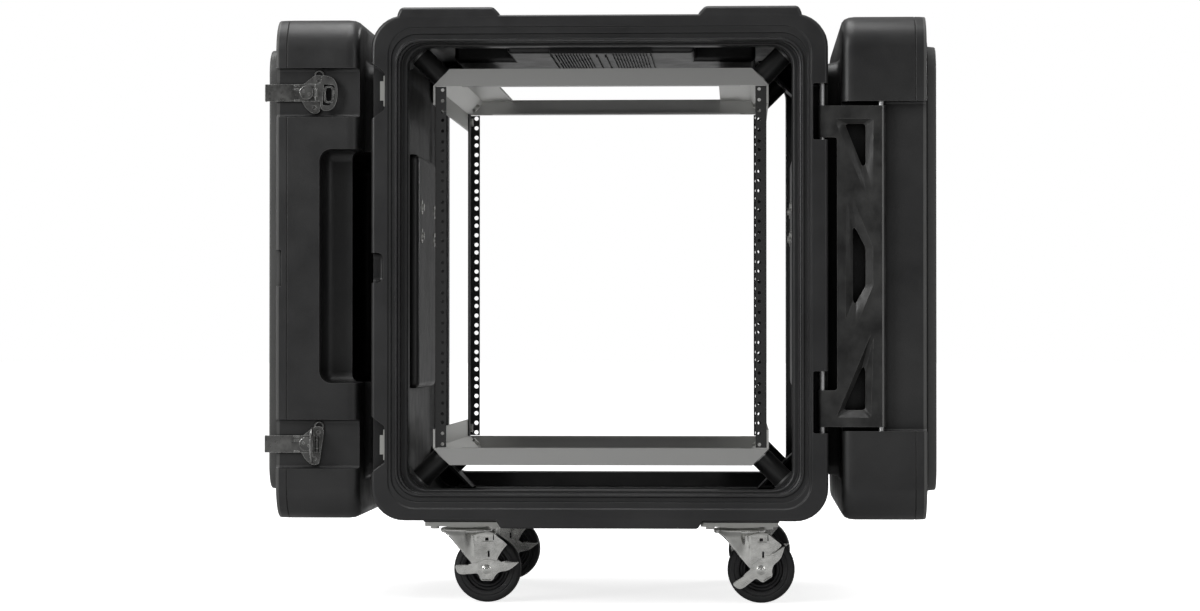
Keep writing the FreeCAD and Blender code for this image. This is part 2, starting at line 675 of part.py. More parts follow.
def diagonal_turn(side, level):
    """Turn that takes +Z to the 45 degree direction out of a frame corner."""
    return Rotation(Vector(0, 0, 1), Vector(side, 0, level))


def diagonal_rod(name, side, level, end, radius, start, length):
    """Cylinder on a shock mount's axis; start is measured out from the frame corner's outer face."""
    bar = doc.addObject("Part::Cylinder", name)
    bar.setExpression("Radius", sized(radius))
    bar.setExpression("Height", sized(length))
    bar.Placement = Placement(Vector(), diagonal_turn(side, level))
    middle = "(frame_bottom + frame_top) / 2"
    out = f"({start}) * 0.70710678"
    across = f"{side} * (frame_half_width - frame_corner / 2 + {out})"
    up = f"{middle} + {level} * (frame_top - frame_corner / 2 - {middle} + {out})"
    move_to(bar, (across, f"{end} * (frame_half_depth - mount_inset)", up))
    return bar


def shock_mounts():
    """Eight rubber mounts at 45 degrees with a steel plate and stud at each end."""
    rubbers = []
    plates = []
    for side, level in PAD_SIDES:
        for end in (-1, 1):
            key = len(rubbers)
            placed = (side, level, end)
            rubbers.append(
                diagonal_rod(f"rubber_{key}", *placed, "mount_radius", "mount_sheet", "mount_length")
            )
            plates.append(diagonal_rod(f"inner_plate_{key}", *placed, "mount_radius", "0", "mount_sheet"))
            outer = "mount_sheet + mount_length"
            plates.append(diagonal_rod(f"outer_plate_{key}", *placed, "mount_radius", outer, "mount_sheet"))
    node("shock_mount_rubbers", group("shock_mount_rubbers", rubbers))
    node("shock_mount_plates", group("shock_mount_plates", plates))


def corner_brackets():
    """Eight folded brackets that bridge the case's inner corners at 45 degrees."""
    wall = "(case_half_width - side_wall_inset - wall_thickness)"
    ceiling = "(case_mid_height + case_half_height - top_wall_inset - wall_thickness)"
    reach = "(2 * mount_sheet + mount_length) * 0.70710678"
    total = f"(frame_half_width + frame_top - frame_corner + 2 * {reach})"
    skew = "bracket_sheet * 1.41421356"
    points = [
        (wall, f"{total} - {wall}"),
        (wall, f"{total} - {wall} + {skew} + bracket_flange"),
        (f"{wall} - bracket_sheet", f"{total} - {wall} + {skew} + bracket_flange"),
        (f"{wall} - bracket_sheet", f"{total} - {wall} + {skew} + bracket_sheet"),
        (f"{total} - {ceiling} + {skew} + bracket_sheet", f"{ceiling} - bracket_sheet"),
        (f"{total} - {ceiling} + {skew} + bracket_flange", f"{ceiling} - bracket_sheet"),
        (f"{total} - {ceiling} + {skew} + bracket_flange", ceiling),
        (f"{total} - {ceiling}", ceiling),
    ]
    brackets = []
    for side, level in PAD_SIDES:
        outline = corner_outline(side, level, points)
        for end in (-1, 1):
            middle = f"{end} * (frame_half_depth - mount_inset)"
            run = (f"{middle} - bracket_half_length", f"{middle} + bracket_half_length")
            brackets.append(prism(f"bracket_{len(brackets)}", "y", outline, *run))
    node("corner_brackets", group("corner_brackets", brackets))


def frame_bolts():
    """Bolt heads that hold the shock mounts to the frame and the rails to the corners."""
    bolts = []
    for side, level in PAD_SIDES:
        for end in (-1, 1):
            head = diagonal_rod(
                f"mount_bolt_{len(bolts)}", side, level, end, "bolt_head_radius",
                "-corner_sheet - bolt_head_height", "bolt_head_height",
            )
            bolts.append(head)
            middle = "(frame_bottom + frame_top) / 2"
            up = f"{middle} + {level} * (frame_top - frame_corner - corner_side_leg / 2 - {middle})"
            along = f"{end} * (frame_half_depth - beam_sheet - rail_leg / 2)"
            inside = "rail_outer - rail_sheet"
            across = in_order(f"{side} * ({inside})", f"{side} * ({inside} - bolt_head_height)")
            bolts.append(rod(f"rail_bolt_{len(bolts)}", "x", (along, up), "bolt_head_radius", *across))
    node("frame_bolts", group("frame_bolts", bolts))


# Lifting handles, one in each side's pocket

def handle_pivot(side):
    """Place across of a handle's pivot axis, which runs along the depth."""
    return f"{side} * (case_half_width - side_wall_inset - handle_pivot_depth)"


def handle_bolt_rods(name, radius, near, far):
    """Rods at both handles' bolts, between two distances out from the pocket floor."""
    rods = []
    for side in (-1, 1):
        floor = "case_half_width - side_wall_inset - pocket_depth"
        across = in_order(f"{side} * ({floor} + {near})", f"{side} * ({floor} + {far})")
        for end, level in PAD_SIDES:
            centre = (f"{end} * handle_bolt_along", f"handle_pivot_height + {level} * handle_bolt_up")
            rods.append(rod(f"{name}_{len(rods)}", "x", centre, radius, *across))
    return rods


def handle_brackets():
    """Base plate on each pocket floor with two ears that hold the handle's stubs."""
    bases = []
    bolt_holes = handle_bolt_rods("handle_plate_hole", "handle_bolt_radius", "-1", "handle_plate_sheet + 1")
    for number, side in enumerate((-1, 1)):
        pivot = handle_pivot(side)
        floor = f"{side} * (case_half_width - side_wall_inset - pocket_depth)"
        face = f"{floor} + {side} * handle_plate_sheet"
        along = both_ways("handle_plate_half_length")
        height = (
            "handle_pivot_height - handle_plate_half_height",
            "handle_pivot_height + handle_plate_half_height",
        )
        pieces = [box(f"handle_plate_{number}", in_order(floor, face), along, height)]
        outer = f"{pivot} + {side} * handle_ear_past"
        near = "handle_half_length + handle_ear_gap"
        for end in (-1, 1):
            run = in_order(f"{end} * ({near})", f"{end} * ({near} + handle_ear_sheet)")
            ear_height = ("handle_pivot_height - handle_ear_half", "handle_pivot_height + handle_ear_half")
            pieces.append(box(f"handle_ear_{number}_{end + 1}", in_order(floor, outer), run, ear_height))
        block = fuse(f"handle_base_block_{number}", pieces)
        bore = ("y", (pivot, "handle_pivot_height"), "handle_pin_radius + running_gap")
        hole = rod(f"handle_hole_{number}", *bore, *both_ways("handle_plate_half_length"))
        holes = bolt_holes[number * 4:number * 4 + 4]
        bases.append(cut(f"handle_base_{number}", block, [hole] + holes))
    node("handle_brackets", group("handle_brackets", bases))


def handle_bolts():
    """Eight bolts through plate and wall, with a wide washer and a nut inside the case."""
    inner = "0 - wall_thickness"
    end = f"{inner} - washer_sheet - handle_head_height"
    head = ("handle_plate_sheet", "handle_plate_sheet + handle_head_height")
    shanks = handle_bolt_rods("handle_shank", "handle_bolt_radius", end, "handle_plate_sheet + 1")
    heads = handle_bolt_rods("handle_head", "handle_head_radius", *head)
    washers = handle_bolt_rods("handle_washer", "washer_radius", f"{inner} - washer_sheet", inner)
    nuts = handle_bolt_rods("handle_nut", "handle_head_radius", end, f"{inner} - washer_sheet")
    sets = zip(shanks, heads, washers, nuts)
    bolts = [fuse(f"handle_bolt_{number}", list(pieces)) for number, pieces in enumerate(sets)]
    node("handle_bolts", group("handle_bolts", bolts))


def handles():
    """Drop handle: a round grip on two arms that swing on stubs in the ears."""
    for label, side in (("left", -1), ("right", 1)):
        pivot = handle_pivot(side)
        low = "handle_pivot_height - handle_reach"
        half = "handle_half_length"
        pieces = [rod(f"grip_{label}", "y", (pivot, low), "handle_grip_radius", *both_ways(half))]
        for end in (-1, 1):
            inner = f"{end} * ({half} - 2 * handle_arm_half)"
            reach = f"{end} * ({half} + handle_ear_gap + handle_ear_sheet + 1)"
            across = (f"{pivot} - handle_arm_half", f"{pivot} + handle_arm_half")
            run = in_order(inner, f"{end} * {half}")
            pieces.append(box(f"arm_{label}_{end + 1}", across, run, (low, "handle_pivot_height + 5")))
            axis = ("y", (pivot, "handle_pivot_height"), "handle_pin_radius")
            pieces.append(rod(f"stub_{label}_{end + 1}", *axis, *in_order(inner, reach)))
        node(f"{label}_handle", fuse(f"{label}_handle", pieces))


# Doors, written for the front door docked along the case's right side

HINGE_SIDE = "body_pin_inset - case_half_depth + body_pin_back - 2 * body_pin_inset"
DOOR_PIN_X = "case_half_width - body_pin_inset + link_length"
FLANGE_X = "case_half_width - body_pin_inset + link_length + door_pin_depth"
OUTER_X = "case_half_width - body_pin_inset + link_length + door_pin_depth - door_depth"
PIN_Y = "body_pin_back - case_half_depth"
FREE_SIDE = f"{HINGE_SIDE} + 2 * case_half_width"


def door_slab(name, side_inset, top_inset, radius, low, high):
    """Rounded rectangle inset from the door's outline, between two distances across."""
    along = (f"{HINGE_SIDE} + ({side_inset})", f"{FREE_SIDE} - ({side_inset})")
    half = f"case_half_height - ({top_inset})"
    height = (f"case_mid_height - ({half})", f"case_mid_height + ({half})")
    return prism(name, "x", rectangle(along, height), low, high, radius)


def door_shell(label, turn):
    """Moulded door: hollow box with a crowned outer face, a tongue, and recesses in its sides."""
    block = door_slab(f"{label}_block", "0", "0", "case_corner_radius", OUTER_X, FLANGE_X)
    crown = door_slab(
        f"{label}_crown", "door_crown_inset", "door_crown_inset", "door_crown_radius",
        f"{OUTER_X} - door_crown", f"{OUTER_X} + 2",
    )
    tongue = door_slab(
        f"{label}_tongue", "tongue_side_inset", "tongue_top_inset", "throat_radius + 4",
        f"{FLANGE_X} - 2", f"{FLANGE_X} + tongue_length",
    )
    solid = fuse(f"{label}_solid", [block, crown, tongue])
    mouth = door_slab(
        f"{label}_mouth", "tongue_side_inset + tongue_wall", "tongue_top_inset + tongue_wall",
        "throat_radius - 4", f"{FLANGE_X} - 30", f"{FLANGE_X} + tongue_length + 5",
    )
    inside = door_slab(
        f"{label}_inside", "door_recess_depth + 2 * wall_thickness", "2 * wall_thickness", "throat_radius",
        f"{OUTER_X} + wall_thickness", f"{FLANGE_X} - 2 * wall_thickness",
    )
    dome = door_slab(
        f"{label}_dome", "door_crown_inset + wall_thickness", "door_crown_inset + wall_thickness",
        "door_crown_radius - wall_thickness",
        f"{OUTER_X} - door_crown + wall_thickness", f"{OUTER_X} + wall_thickness + 2",
    )
    hollow = cut(f"{label}_hollow", solid, [mouth, inside, dome])
    lined = fuse(f"{label}_lined", [hollow, door_scoop(f"{label}_scoop_liner", "wall_thickness", "-1")])
    spaces = [door_scoop(f"{label}_scoop", "0", "5")]
    past = f"{FLANGE_X} + 1"
    spaces.append(box(
        f"{label}_hinge_recess", (f"{OUTER_X} - 5", past),
        (f"{HINGE_SIDE} - 5", f"{HINGE_SIDE} + door_recess_depth"), ("door_recess_bottom", "door_recess_top"),
    ))
    for name, level in HEIGHT_SIDES:
        middle = f"case_mid_height + {level} * keeper_height"
        height = (f"{middle} - latch_recess_half", f"{middle} + latch_recess_half")
        across = (f"{FLANGE_X} - latch_recess_run", past)
        along = (f"{FREE_SIDE} - latch_recess_depth", f"{FREE_SIDE} + 5")
        spaces.append(box(f"{label}_latch_recess_{name}", across, along, height))
    notch_side = (f"{FREE_SIDE} - flange_notch_depth", f"{FREE_SIDE} + 5")
    notch_height = ("case_mid_height - flange_notch_half", "case_mid_height + flange_notch_half")
    notch_across = (f"{FLANGE_X} - flange_notch_depth", past)
    spaces.append(box(f"{label}_flange_notch", notch_across, notch_side, notch_height))
    spaces.append(door_pin_rod(f"{label}_pin_hole"))
    node(f"{label}_door_shell", cut(f"{label}_door_shell", lined, spaces), turn)


def door_scoop(name, grow, outward):
    """Hand scoop at the door's free side, from its outer face inwards."""
    along = (f"{FREE_SIDE} - scoop_run - {grow}", f"{FREE_SIDE} + {outward}")
    height = (f"scoop_bottom - {grow}", f"scoop_top + {grow}")
    across = (f"{OUTER_X} - door_crown - {outward}", f"{OUTER_X} + scoop_depth + {grow}")
    if outward == "-1":
        across = (f"{OUTER_X} + 1", across[1])
    return prism(name, "y", rectangle(across, height), along[0], along[1], f"scoop_radius + {grow}")


def door_pin_rod(name):
    """Rod on the door's hinge axis, from one side of the hinge recess to the other."""
    low = "door_recess_bottom - 2 * pin_end_cover"
    high = "door_recess_top + 2 * pin_end_cover"
    return rod(name, "z", (DOOR_PIN_X, PIN_Y), "hinge_pin_radius", low, high)


def door_pin(label, turn):
    """Steel pin that joins the door to its link."""
    node(f"{label}_door_pin", group(f"{label}_door_pin", [door_pin_rod(f"{label}_pin_rod")]), turn)


def door_seal(label, turn):
    """Seal ring on the flange, outside the tongue."""
    groove = "seal_groove_outset + seal_groove_width"
    along = f"case_half_width - ledge_half_width - ({groove}) + seal_side_gap"
    up = f"case_half_height - ledge_half_height - ({groove}) + seal_side_gap"
    span = (FLANGE_X, f"{FLANGE_X} + seal_radius")
    ring = door_slab(f"{label}_seal_outer", along, up, "throat_radius + 13", *span)
    inner = (f"{along} + seal_radius", f"{up} + seal_radius")
    core = door_slab(f"{label}_seal_core", *inner, "throat_radius + 10", *span)
    node(f"{label}_door_seal", cut(f"{label}_door_seal", ring, [core]), turn)


LINK_WINDOWS = (
    (("33", "40"), ("63", "40"), ("63", "92"), ("58", "92")),
    (("44.5", "172"), ("48", "172"), ("63", "206"), ("63", "261"), ("48", "289"), ("44.5", "285")),
    (("59", "377"), ("63", "381"), ("63", "441.5"), ("31", "441.5")),
)


def door_link(label, turn):
    """Double-pin hinge link: a plate with three windows, two tabs and a knuckle on each pin."""
    pin = "case_half_width - body_pin_inset"
    outline = [
        (pin, "link_bottom"),
        (DOOR_PIN_X, "link_bottom"),
        (DOOR_PIN_X, "link_top"),
        (pin, "link_top"),
        (pin, "link_tab_high"),
        (f"{pin} + link_tab_reach", "link_tab_high"),
        (f"{pin} + link_tab_reach", "link_tab_low"),
        (pin, "link_tab_low"),
    ]
    half = "link_thickness / 2"
    faces = (f"{PIN_Y} - {half}", f"{PIN_Y} + {half}")
    solids = [prism(f"{label}_link_plate", "y", outline, *faces)]
    knuckles = (
        (DOOR_PIN_X, "link_bottom", "link_top"),
        (pin, "link_bottom", "link_tab_low"),
        (pin, "link_tab_high", "link_top"),
    )
    tools = []
    for number, (across, low, high) in enumerate(knuckles):
        solids.append(rod(f"{label}_knuckle_{number}", "z", (across, PIN_Y), half, low, high))
        bore = (f"{label}_bore_{number}", "z", (across, PIN_Y), "hinge_pin_radius + running_gap")
        tools.append(rod(*bore, f"{low} - 1", f"{high} + 1"))
    for number, window in enumerate(LINK_WINDOWS):
        hole = [(f"{pin} + {across}", f"link_top - 14 - {down}") for across, down in window]
        low, high = f"{faces[0]} - 1", f"{faces[1]} + 1"
        tools.append(prism(f"{label}_window_{number}", "y", hole, low, high))
    solid = fuse(f"{label}_link_solid", solids)
    node(f"{label}_door_link", cut(f"{label}_door_link", solid, tools), turn)


# Twist latches on the door's free side; Y grows outward from the door

LATCH_X = f"{FLANGE_X} - latch_back"
LATCH_FLOOR = f"{FREE_SIDE} - latch_recess_depth"
STRAP_Y = f"{LATCH_FLOOR} + latch_plate_sheet + latch_gap"
ROTOR_Y = f"{STRAP_Y} + latch_strap_sheet + latch_gap"


# Corners of the base plate, and places of its ring and rivets, from the rotor axis
LATCH_PLATE = (("12", "-14"), ("12", "10"), ("-14", "28"), ("-24", "24"), ("-26", "-20"), ("-8", "-31"))
LATCH_RING = ("-18", "27")
LATCH_RING_HOLE = ("-18", "29")
LATCH_RIVETS = (("-16", "17"), ("-16", "-20"))


def latch_middle(level):
    """Height of a latch's rotor axis."""
    return f"case_mid_height + {level} * keeper_height"


def latch_bases(label, turn):
    """Base plate of each latch, with a padlock ring above it and two rivets."""
    bases = []
    face = f"{LATCH_FLOOR} + latch_plate_sheet"
    past = (f"{LATCH_FLOOR} - 1", f"{face} + 1")
    for name, level in HEIGHT_SIDES:
        key = f"{label}_{name}_base"

        def spot(place):
            return (f"{LATCH_X} + ({place[0]})", f"{latch_middle(level)} + ({place[1]})")

        outline = [spot(corner) for corner in LATCH_PLATE]
        plate = prism(key + "_plate", "y", outline, LATCH_FLOOR, face, "5")
        ring = rod(key + "_ring", "y", spot(LATCH_RING), "latch_ring_radius", LATCH_FLOOR, face)
        tools = [
            rod(key + "_shaft_hole", "y", spot(("0", "0")), "latch_shaft_radius + running_gap", *past),
            rod(key + "_ring_hole", "y", spot(LATCH_RING_HOLE), "latch_ring_hole_radius", *past),
        ]
        plate_cut = cut(key + "_cut", fuse(key + "_solid", [plate, ring]), tools)
        rivets = [
            rod(f"{key}_rivet_{number}", "y", spot(place), "latch_rivet_radius", face, f"{face} + 1")
            for number, place in enumerate(LATCH_RIVETS)
        ]
        bases.append(fuse(key, [plate_cut] + rivets))
    node(f"{label}_latch_bases", group(f"{label}_latch_bases", bases), turn)


def latch_rotor(key, pin, middle, turn):
    """Shaft and head, with a lug that carries the wing's pin and a flat where the wing stands."""
    centre = (LATCH_X, middle)
    top = f"{ROTOR_Y} + latch_rotor_height"
    lug = (f"{middle} - latch_lug_half", f"{middle} + latch_lug_half")
    pin_run = (f"{middle} - wing_barrel_half", f"{middle} + wing_barrel_half")
    neck = f"{pin[1]} + latch_lug_rise"
    stand = f"{pin[0]} + wing_pin_rise"
    head = rod(key + "_head", "y", centre, "latch_rotor_radius", ROTOR_Y, top)
    seat = box(
        key + "_seat", (stand, f"{stand} + wing_sheet + 2 * latch_gap"),
        (neck, f"{top} + 1"), (f"{middle} - latch_rotor_radius", f"{middle} + latch_rotor_radius"),
    )
    pieces = [
        cut(key + "_head_cut", head, [seat]),
        rod(key + "_shaft", "y", centre, "latch_shaft_radius", f"{LATCH_FLOOR} + 0.5", f"{ROTOR_Y} + 1"),
        box(key + "_neck", (pin[0], LATCH_X), (ROTOR_Y, neck), lug),
        rod(key + "_lug", "z", pin, "wing_pin_rise", *lug),
        rod(key + "_wing_pin", "z", pin, "wing_pin_radius", *pin_run),
    ]
    node(f"{key}_latch_rotor", fuse(key + "_rotor", pieces), turn)


def latch_hook(key, middle, turn):
    """Strap with a hooked end and a slot round the rotor's shaft."""
    across = (f"{LATCH_X} - 12", f"{FLANGE_X} + tongue_length + 1")
    outer = f"{STRAP_Y} + latch_strap_sheet"
    height = (f"{middle} - latch_strap_half", f"{middle} + latch_strap_half")
    strap = box(key + "_strap", across, (STRAP_Y, outer), height)
    bent = (f"{across[1]} - latch_strap_sheet", across[1])
    hook = box(key + "_hook_end", bent, (f"{STRAP_Y} - latch_hook_depth", outer), height)
    past = (f"{STRAP_Y} - 1", f"{outer} + 1")
    gap = "latch_shaft_radius + 0.5"
    far = f"{LATCH_X} + latch_draw"
    slot = [
        box(key + "_slot_mid", (LATCH_X, far), past, (f"{middle} - ({gap})", f"{middle} + {gap}")),
        rod(key + "_slot_near", "y", (LATCH_X, middle), gap, *past),
        rod(key + "_slot_far", "y", (far, middle), gap, *past),
    ]
    solid = fuse(key + "_hook_solid", [strap, hook])
    node(f"{key}_latch_hook", cut(key + "_hook", solid, slot), turn)


def latch_wing(key, pin, middle, turn, wing_up):
    """Folding wing with an oblong hole, written about its own hinge, lying flat or standing out."""
    reach = "wing_far - wing_near"
    rise = "wing_pin_rise + latch_gap"
    top = f"{rise} + wing_sheet"
    barrel_run = both_ways("wing_barrel_half")
    blade = box(key + "_blade", (f"0 - ({reach})", "0 - wing_pin_rise"), (rise, top), both_ways("wing_half"))
    web = box(key + "_web", ("0 - wing_web_end", "0 - wing_web_start"), ("0", top), barrel_run)
    barrel = rod(key + "_barrel", "z", ("0", "0"), "wing_barrel_radius", *barrel_run)
    solid = fuse(key + "_wing_solid", [blade, web, barrel])
    clear = f"{rise} - running_gap"
    lug = both_ways("latch_lug_half + latch_gap")
    tools = [
        box(key + "_wing_clear", ("0 - wing_web_end - 0.1", "wing_web_end"), (f"0 - ({clear})", clear), lug),
        rod(key + "_pin_bore", "z", ("0", "0"), "wing_pin_radius + running_gap", *both_ways("wing_half")),
    ]
    for number, sign in enumerate((-1, 1)):
        place = (f"0 - ({reach}) / 2 - wing_hole_past", f"{sign} * wing_hole_shift")
        tools.append(rod(f"{key}_wing_hole_{number}", "y", place, "wing_hole_radius", "0", f"{top} + 1"))
    fold = Rotation(Vector(0, 0, 1), -90) if wing_up else NO_TURN
    sign = 1 if turn is NO_TURN else -1
    place = (f"{sign} * ({pin[0]})", f"{sign} * ({pin[1]})", middle)
    node(f"{key}_latch_wing", cut(key + "_wing", solid, tools), turn.multiply(fold), place)


def latch_parts(label, name, level, turn, wing_up):
    """Rotor, hook strap and folding wing of one latch."""
    key = f"{label}_{name}"
    middle = latch_middle(level)
    pin = (f"{LATCH_X} - wing_near", f"{ROTOR_Y} + latch_rotor_height - wing_pin_rise")
    latch_rotor(key, pin, middle, turn)
    latch_hook(key, middle, turn)
    latch_wing(key, pin, middle, turn, wing_up)


def doors():
    """Front door as written, rear door turned half round."""
    for label, turn in (("front", NO_TURN), ("rear", HALF_TURN)):
        door_shell(label, turn)
        door_seal(label, turn)
        door_link(label, turn)
        door_pin(label, turn)
        latch_bases(label, turn)
        for name, level in HEIGHT_SIDES:
            latch_parts(label, name, level, turn, wing_up=name == "lower")


# Casters, written about their own swivel axis at floor level

def caster_bolt_rods(name, radius, low, high):
    """Rods at every caster plate's four bolt holes."""
    rods = []
    for label, side, end in CASTERS:
        for shift in PAD_SIDES:
            across = f"{side} * caster_x + {shift[0]} * plate_hole_offset"
            along = f"{end} * caster_y + {shift[1]} * plate_hole_offset"
            rods.append(rod(f"{name}_{len(rods)}", "z", (across, along), radius, low, high))
    return rods


def caster_plates():
    """Fixed half of each caster: top plate, swivel race and kingpin."""
    plates = []
    low = "plate_top - plate_sheet"
    for label, side, end in CASTERS:
        middle = (f"{side} * caster_x", f"{end} * caster_y")
        across = (f"{middle[0]} - plate_half", f"{middle[0]} + plate_half")
        along = (f"{middle[1]} - plate_half", f"{middle[1]} + plate_half")
        crown_low = f"{low} - race_height - crown_height"
        plate = prism(f"plate_sheet_{label}", "z", rectangle(across, along), low, "plate_top", "6")
        pieces = [
            plate,
            rod(
                f"race_{label}", "z", middle, "race_radius",
                f"{low} - race_height + swivel_gap", f"{low} + 1",
            ),
            rod(f"kingpin_{label}", "z", middle, "kingpin_radius", f"{crown_low} - 1", f"{low} + 1"),
            rod(
                f"kingpin_head_{label}", "z", middle, "kingpin_head_radius",
                f"{crown_low} - swivel_gap - kingpin_head_height", f"{crown_low} - swivel_gap",
            ),
        ]
        plates.append(fuse(f"plate_{label}", pieces))
    solid = group("caster_plate_solids", plates)
    holes = caster_bolt_rods("plate_hole", "plate_hole_radius", f"{low} - 1", "plate_top + 1")
    node("caster_plates", cut("caster_plates", solid, holes))


def caster_bolts():
    """Sixteen bolts that hold the caster plates to the seats under the case."""
    low = "plate_top - plate_sheet"
    shanks = caster_bolt_rods("caster_shank", "plate_hole_radius - 0.5", low, "plate_top + caster_bolt_grip")
    heads = caster_bolt_rods("caster_head", "bolt_head_radius", f"{low} - caster_bolt_head", low)
    bolts = [fuse(f"caster_bolt_{number}", list(pair)) for number, pair in enumerate(zip(shanks, heads))]
    node("caster_bolts", group("caster_bolts", bolts))


FORK_LEG = (
    ("-36", "104"), ("-36", "101"), ("-24", "98"), ("12", "50"), ("22", "37"), ("42", "37"),
    ("50", "50"), ("54", "66"), ("67", "82"), ("50", "99"), ("38", "104"),
)


def caster_fork(label, place):
    """Pressed fork: a round crown and two tapered legs."""
    inner = "wheel_half_width + fork_gap"
    outer = "wheel_half_width + fork_gap + fork_sheet"
    top = "plate_top - plate_sheet - race_height"
    pieces = [
        rod(f"crown_{label}", "z", ("0", "0"), "crown_radius", f"{top} - crown_height", top),
        prism(f"leg_near_{label}", "y", FORK_LEG, f"-({outer})", f"-({inner})"),
        prism(f"leg_far_{label}", "y", FORK_LEG, inner, outer),
    ]
    bore = (f"{top} - 30", f"{top} + 1")
    through = both_ways(f"{outer} + 1")
    tools = [
        rod(f"crown_bore_{label}", "z", ("0", "0"), "kingpin_radius + running_gap", *bore),
        rod(f"leg_bore_{label}", "y", ("caster_trail", "wheel_radius"), "axle_radius", *through),
    ]
    solid = fuse(f"fork_solid_{label}", pieces)
    node(f"{label}_caster_fork", cut(f"fork_{label}", solid, tools), place=place)


def caster_axle(label, place):
    """Axle bolt with a round head outside the lever and a nut on the far leg."""
    leg = "wheel_half_width + fork_gap + fork_sheet"
    centre = ("caster_trail", "wheel_radius")
    lever = f"{leg} + lever_sheet + 2 * lever_gap"
    head = (f"-({lever}) - axle_head_height", f"-({lever})")
    pieces = [
        rod(f"axle_rod_{label}", "y", centre, "axle_radius", f"-({lever}) - 1", f"{leg} + 1"),
        rod(f"axle_head_{label}", "y", centre, "axle_head_radius", *head),
        rod(f"axle_nut_{label}", "y", centre, "axle_head_radius", leg, f"{leg} + axle_nut_height"),
    ]
    node(f"{label}_caster_axle", fuse(f"axle_{label}", pieces), place=place)


def turned(name, outline):
    """Solid of revolution about the wheel's axle; points are (along the axle, radius)."""
    body = doc.addObject("PartDesign::Body", name)
    sketch = draw_outline(body, name + "_section", "YZ_Plane", outline)
    spin = body.newObject("PartDesign::Revolution", name + "_spin")
    spin.Profile = sketch
    spin.ReferenceAxis = (sketch, ["H_Axis"])
    spin.Angle = 360
    doc.recompute()
    return body


def caster_wheel(label, place):
    """Rubber tread with rounded shoulders, and a hub with stepped recesses."""
    middle = (f"{place[0]} + caster_trail", place[1], "wheel_radius")
    half = "wheel_half_width"
    tread = [
        (f"-{half}", "tread_inner_radius"),
        (half, "tread_inner_radius"),
        (half, "wheel_radius - 6"),
        (f"{half} - 2", "wheel_radius - 2"),
        (f"{half} - 6", "wheel_radius"),
        (f"6 - {half}", "wheel_radius"),
        (f"2 - {half}", "wheel_radius - 2"),
        (f"-{half}", "wheel_radius - 6"),
    ]
    node(f"{label}_caster_tyre", turned(f"tyre_{label}", tread), place=middle)
    hub = []
    for sign in (-1, 1):
        steps = [
            (half + " + 2.5", "hub_bore_radius"), (half + " + 2.5", "11"), (half + " - 8", "13"),
            (half + " - 8", "26"), (half + " - 1", "28"), (half + " - 1", "tread_inner_radius"),
        ]
        side = [(f"{sign} * ({along})", radius) for along, radius in steps]
        hub.extend(side if sign == 1 else reversed(side))
    node(f"{label}_caster_hub", turned(f"hub_{label}", hub), place=middle)


# Upper and lower edge of the brake lever from its middle to its right tip
LEVER_UPPER = (("0", "14"), ("16", "13"), ("24", "9.5"), ("lever_reach", "9"))
LEVER_LOWER = (("lever_reach", "-8"), ("24", "-9"), ("10", "-15"))


def caster_lever(label, place, tilt):
    """Winged brake lever that rocks on the axle."""
    near = "wheel_half_width + fork_gap + fork_sheet + lever_gap"
    outline = list(LEVER_UPPER + LEVER_LOWER)
    outline += [(f"-({across})", up) for across, up in reversed(LEVER_LOWER)]
    outline += [(f"-({across})", up) for across, up in reversed(LEVER_UPPER[1:])]
    plate = prism(f"lever_plate_{label}", "y", outline, f"-({near}) - lever_sheet", f"-({near})")
    pieces = [plate]
    for side in (-1, 1):
        across = in_order(f"{side} * lever_reach", f"{side} * (lever_reach - 16)")
        along = (f"-({near}) - lever_pad", f"-({near})")
        pieces.append(box(f"lever_pad_{label}_{side + 1}", across, along, ("7", "9")))
    through = both_ways(f"{near} + lever_sheet + 1")
    bore = rod(f"lever_bore_{label}", "y", ("0", "0"), "axle_radius + running_gap", *through)
    piece = cut(f"lever_{label}", fuse(f"lever_solid_{label}", pieces), [bore])
    middle = (f"{place[0]} + caster_trail", place[1], "wheel_radius")
    node(f"{label}_brake_lever", piece, Rotation(Vector(0, -1, 0), tilt), middle)


def casters():
    """Four swivel casters; the front right one has its brake lever tilted to the locked end."""
    for label, side, end in CASTERS:
        place = (f"{side} * caster_x", f"{end} * caster_y", "0")
        caster_fork(label, place)
        caster_axle(label, place)
        caster_wheel(label, place)
        tilt = value("lever_tilt") if label == "front_right" else 0
        caster_lever(label, place, tilt)


def check_document():
    """Stop if any object failed or any sub-part is empty or invalid."""
    doc.recompute()
    for thing in doc.Objects:
        if "Invalid" in thing.State or "Error" in thing.State:
            raise RuntimeError(f"{thing.Name} did not recompute: {thing.State}")
    for piece in nodes:
        if piece.Shape.isNull() or not piece.Shape.isValid():
            raise RuntimeError(f"{piece.Label} has no valid shape")


def write_parts():
    """Write each sub-part to its own STEP file."""
    os.makedirs("parts", exist_ok=True)
    for piece in nodes:
        piece.Shape.exportStep(f"parts/{piece.Label}.step")


body_shell()
hinge_body_pins()
keeper_plates()
cross_beams()
corner_extrusions()
rack_rails()
shock_mounts()
corner_brackets()
frame_bolts()
handle_brackets()
handle_bolts()
handles()
doors()
caster_plates()
caster_bolts()
casters()
check_document()
write_parts()
print(len(nodes), "sub-parts written")
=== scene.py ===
import json
import math
import bmesh
import bpy
from mathutils import Matrix, Vector


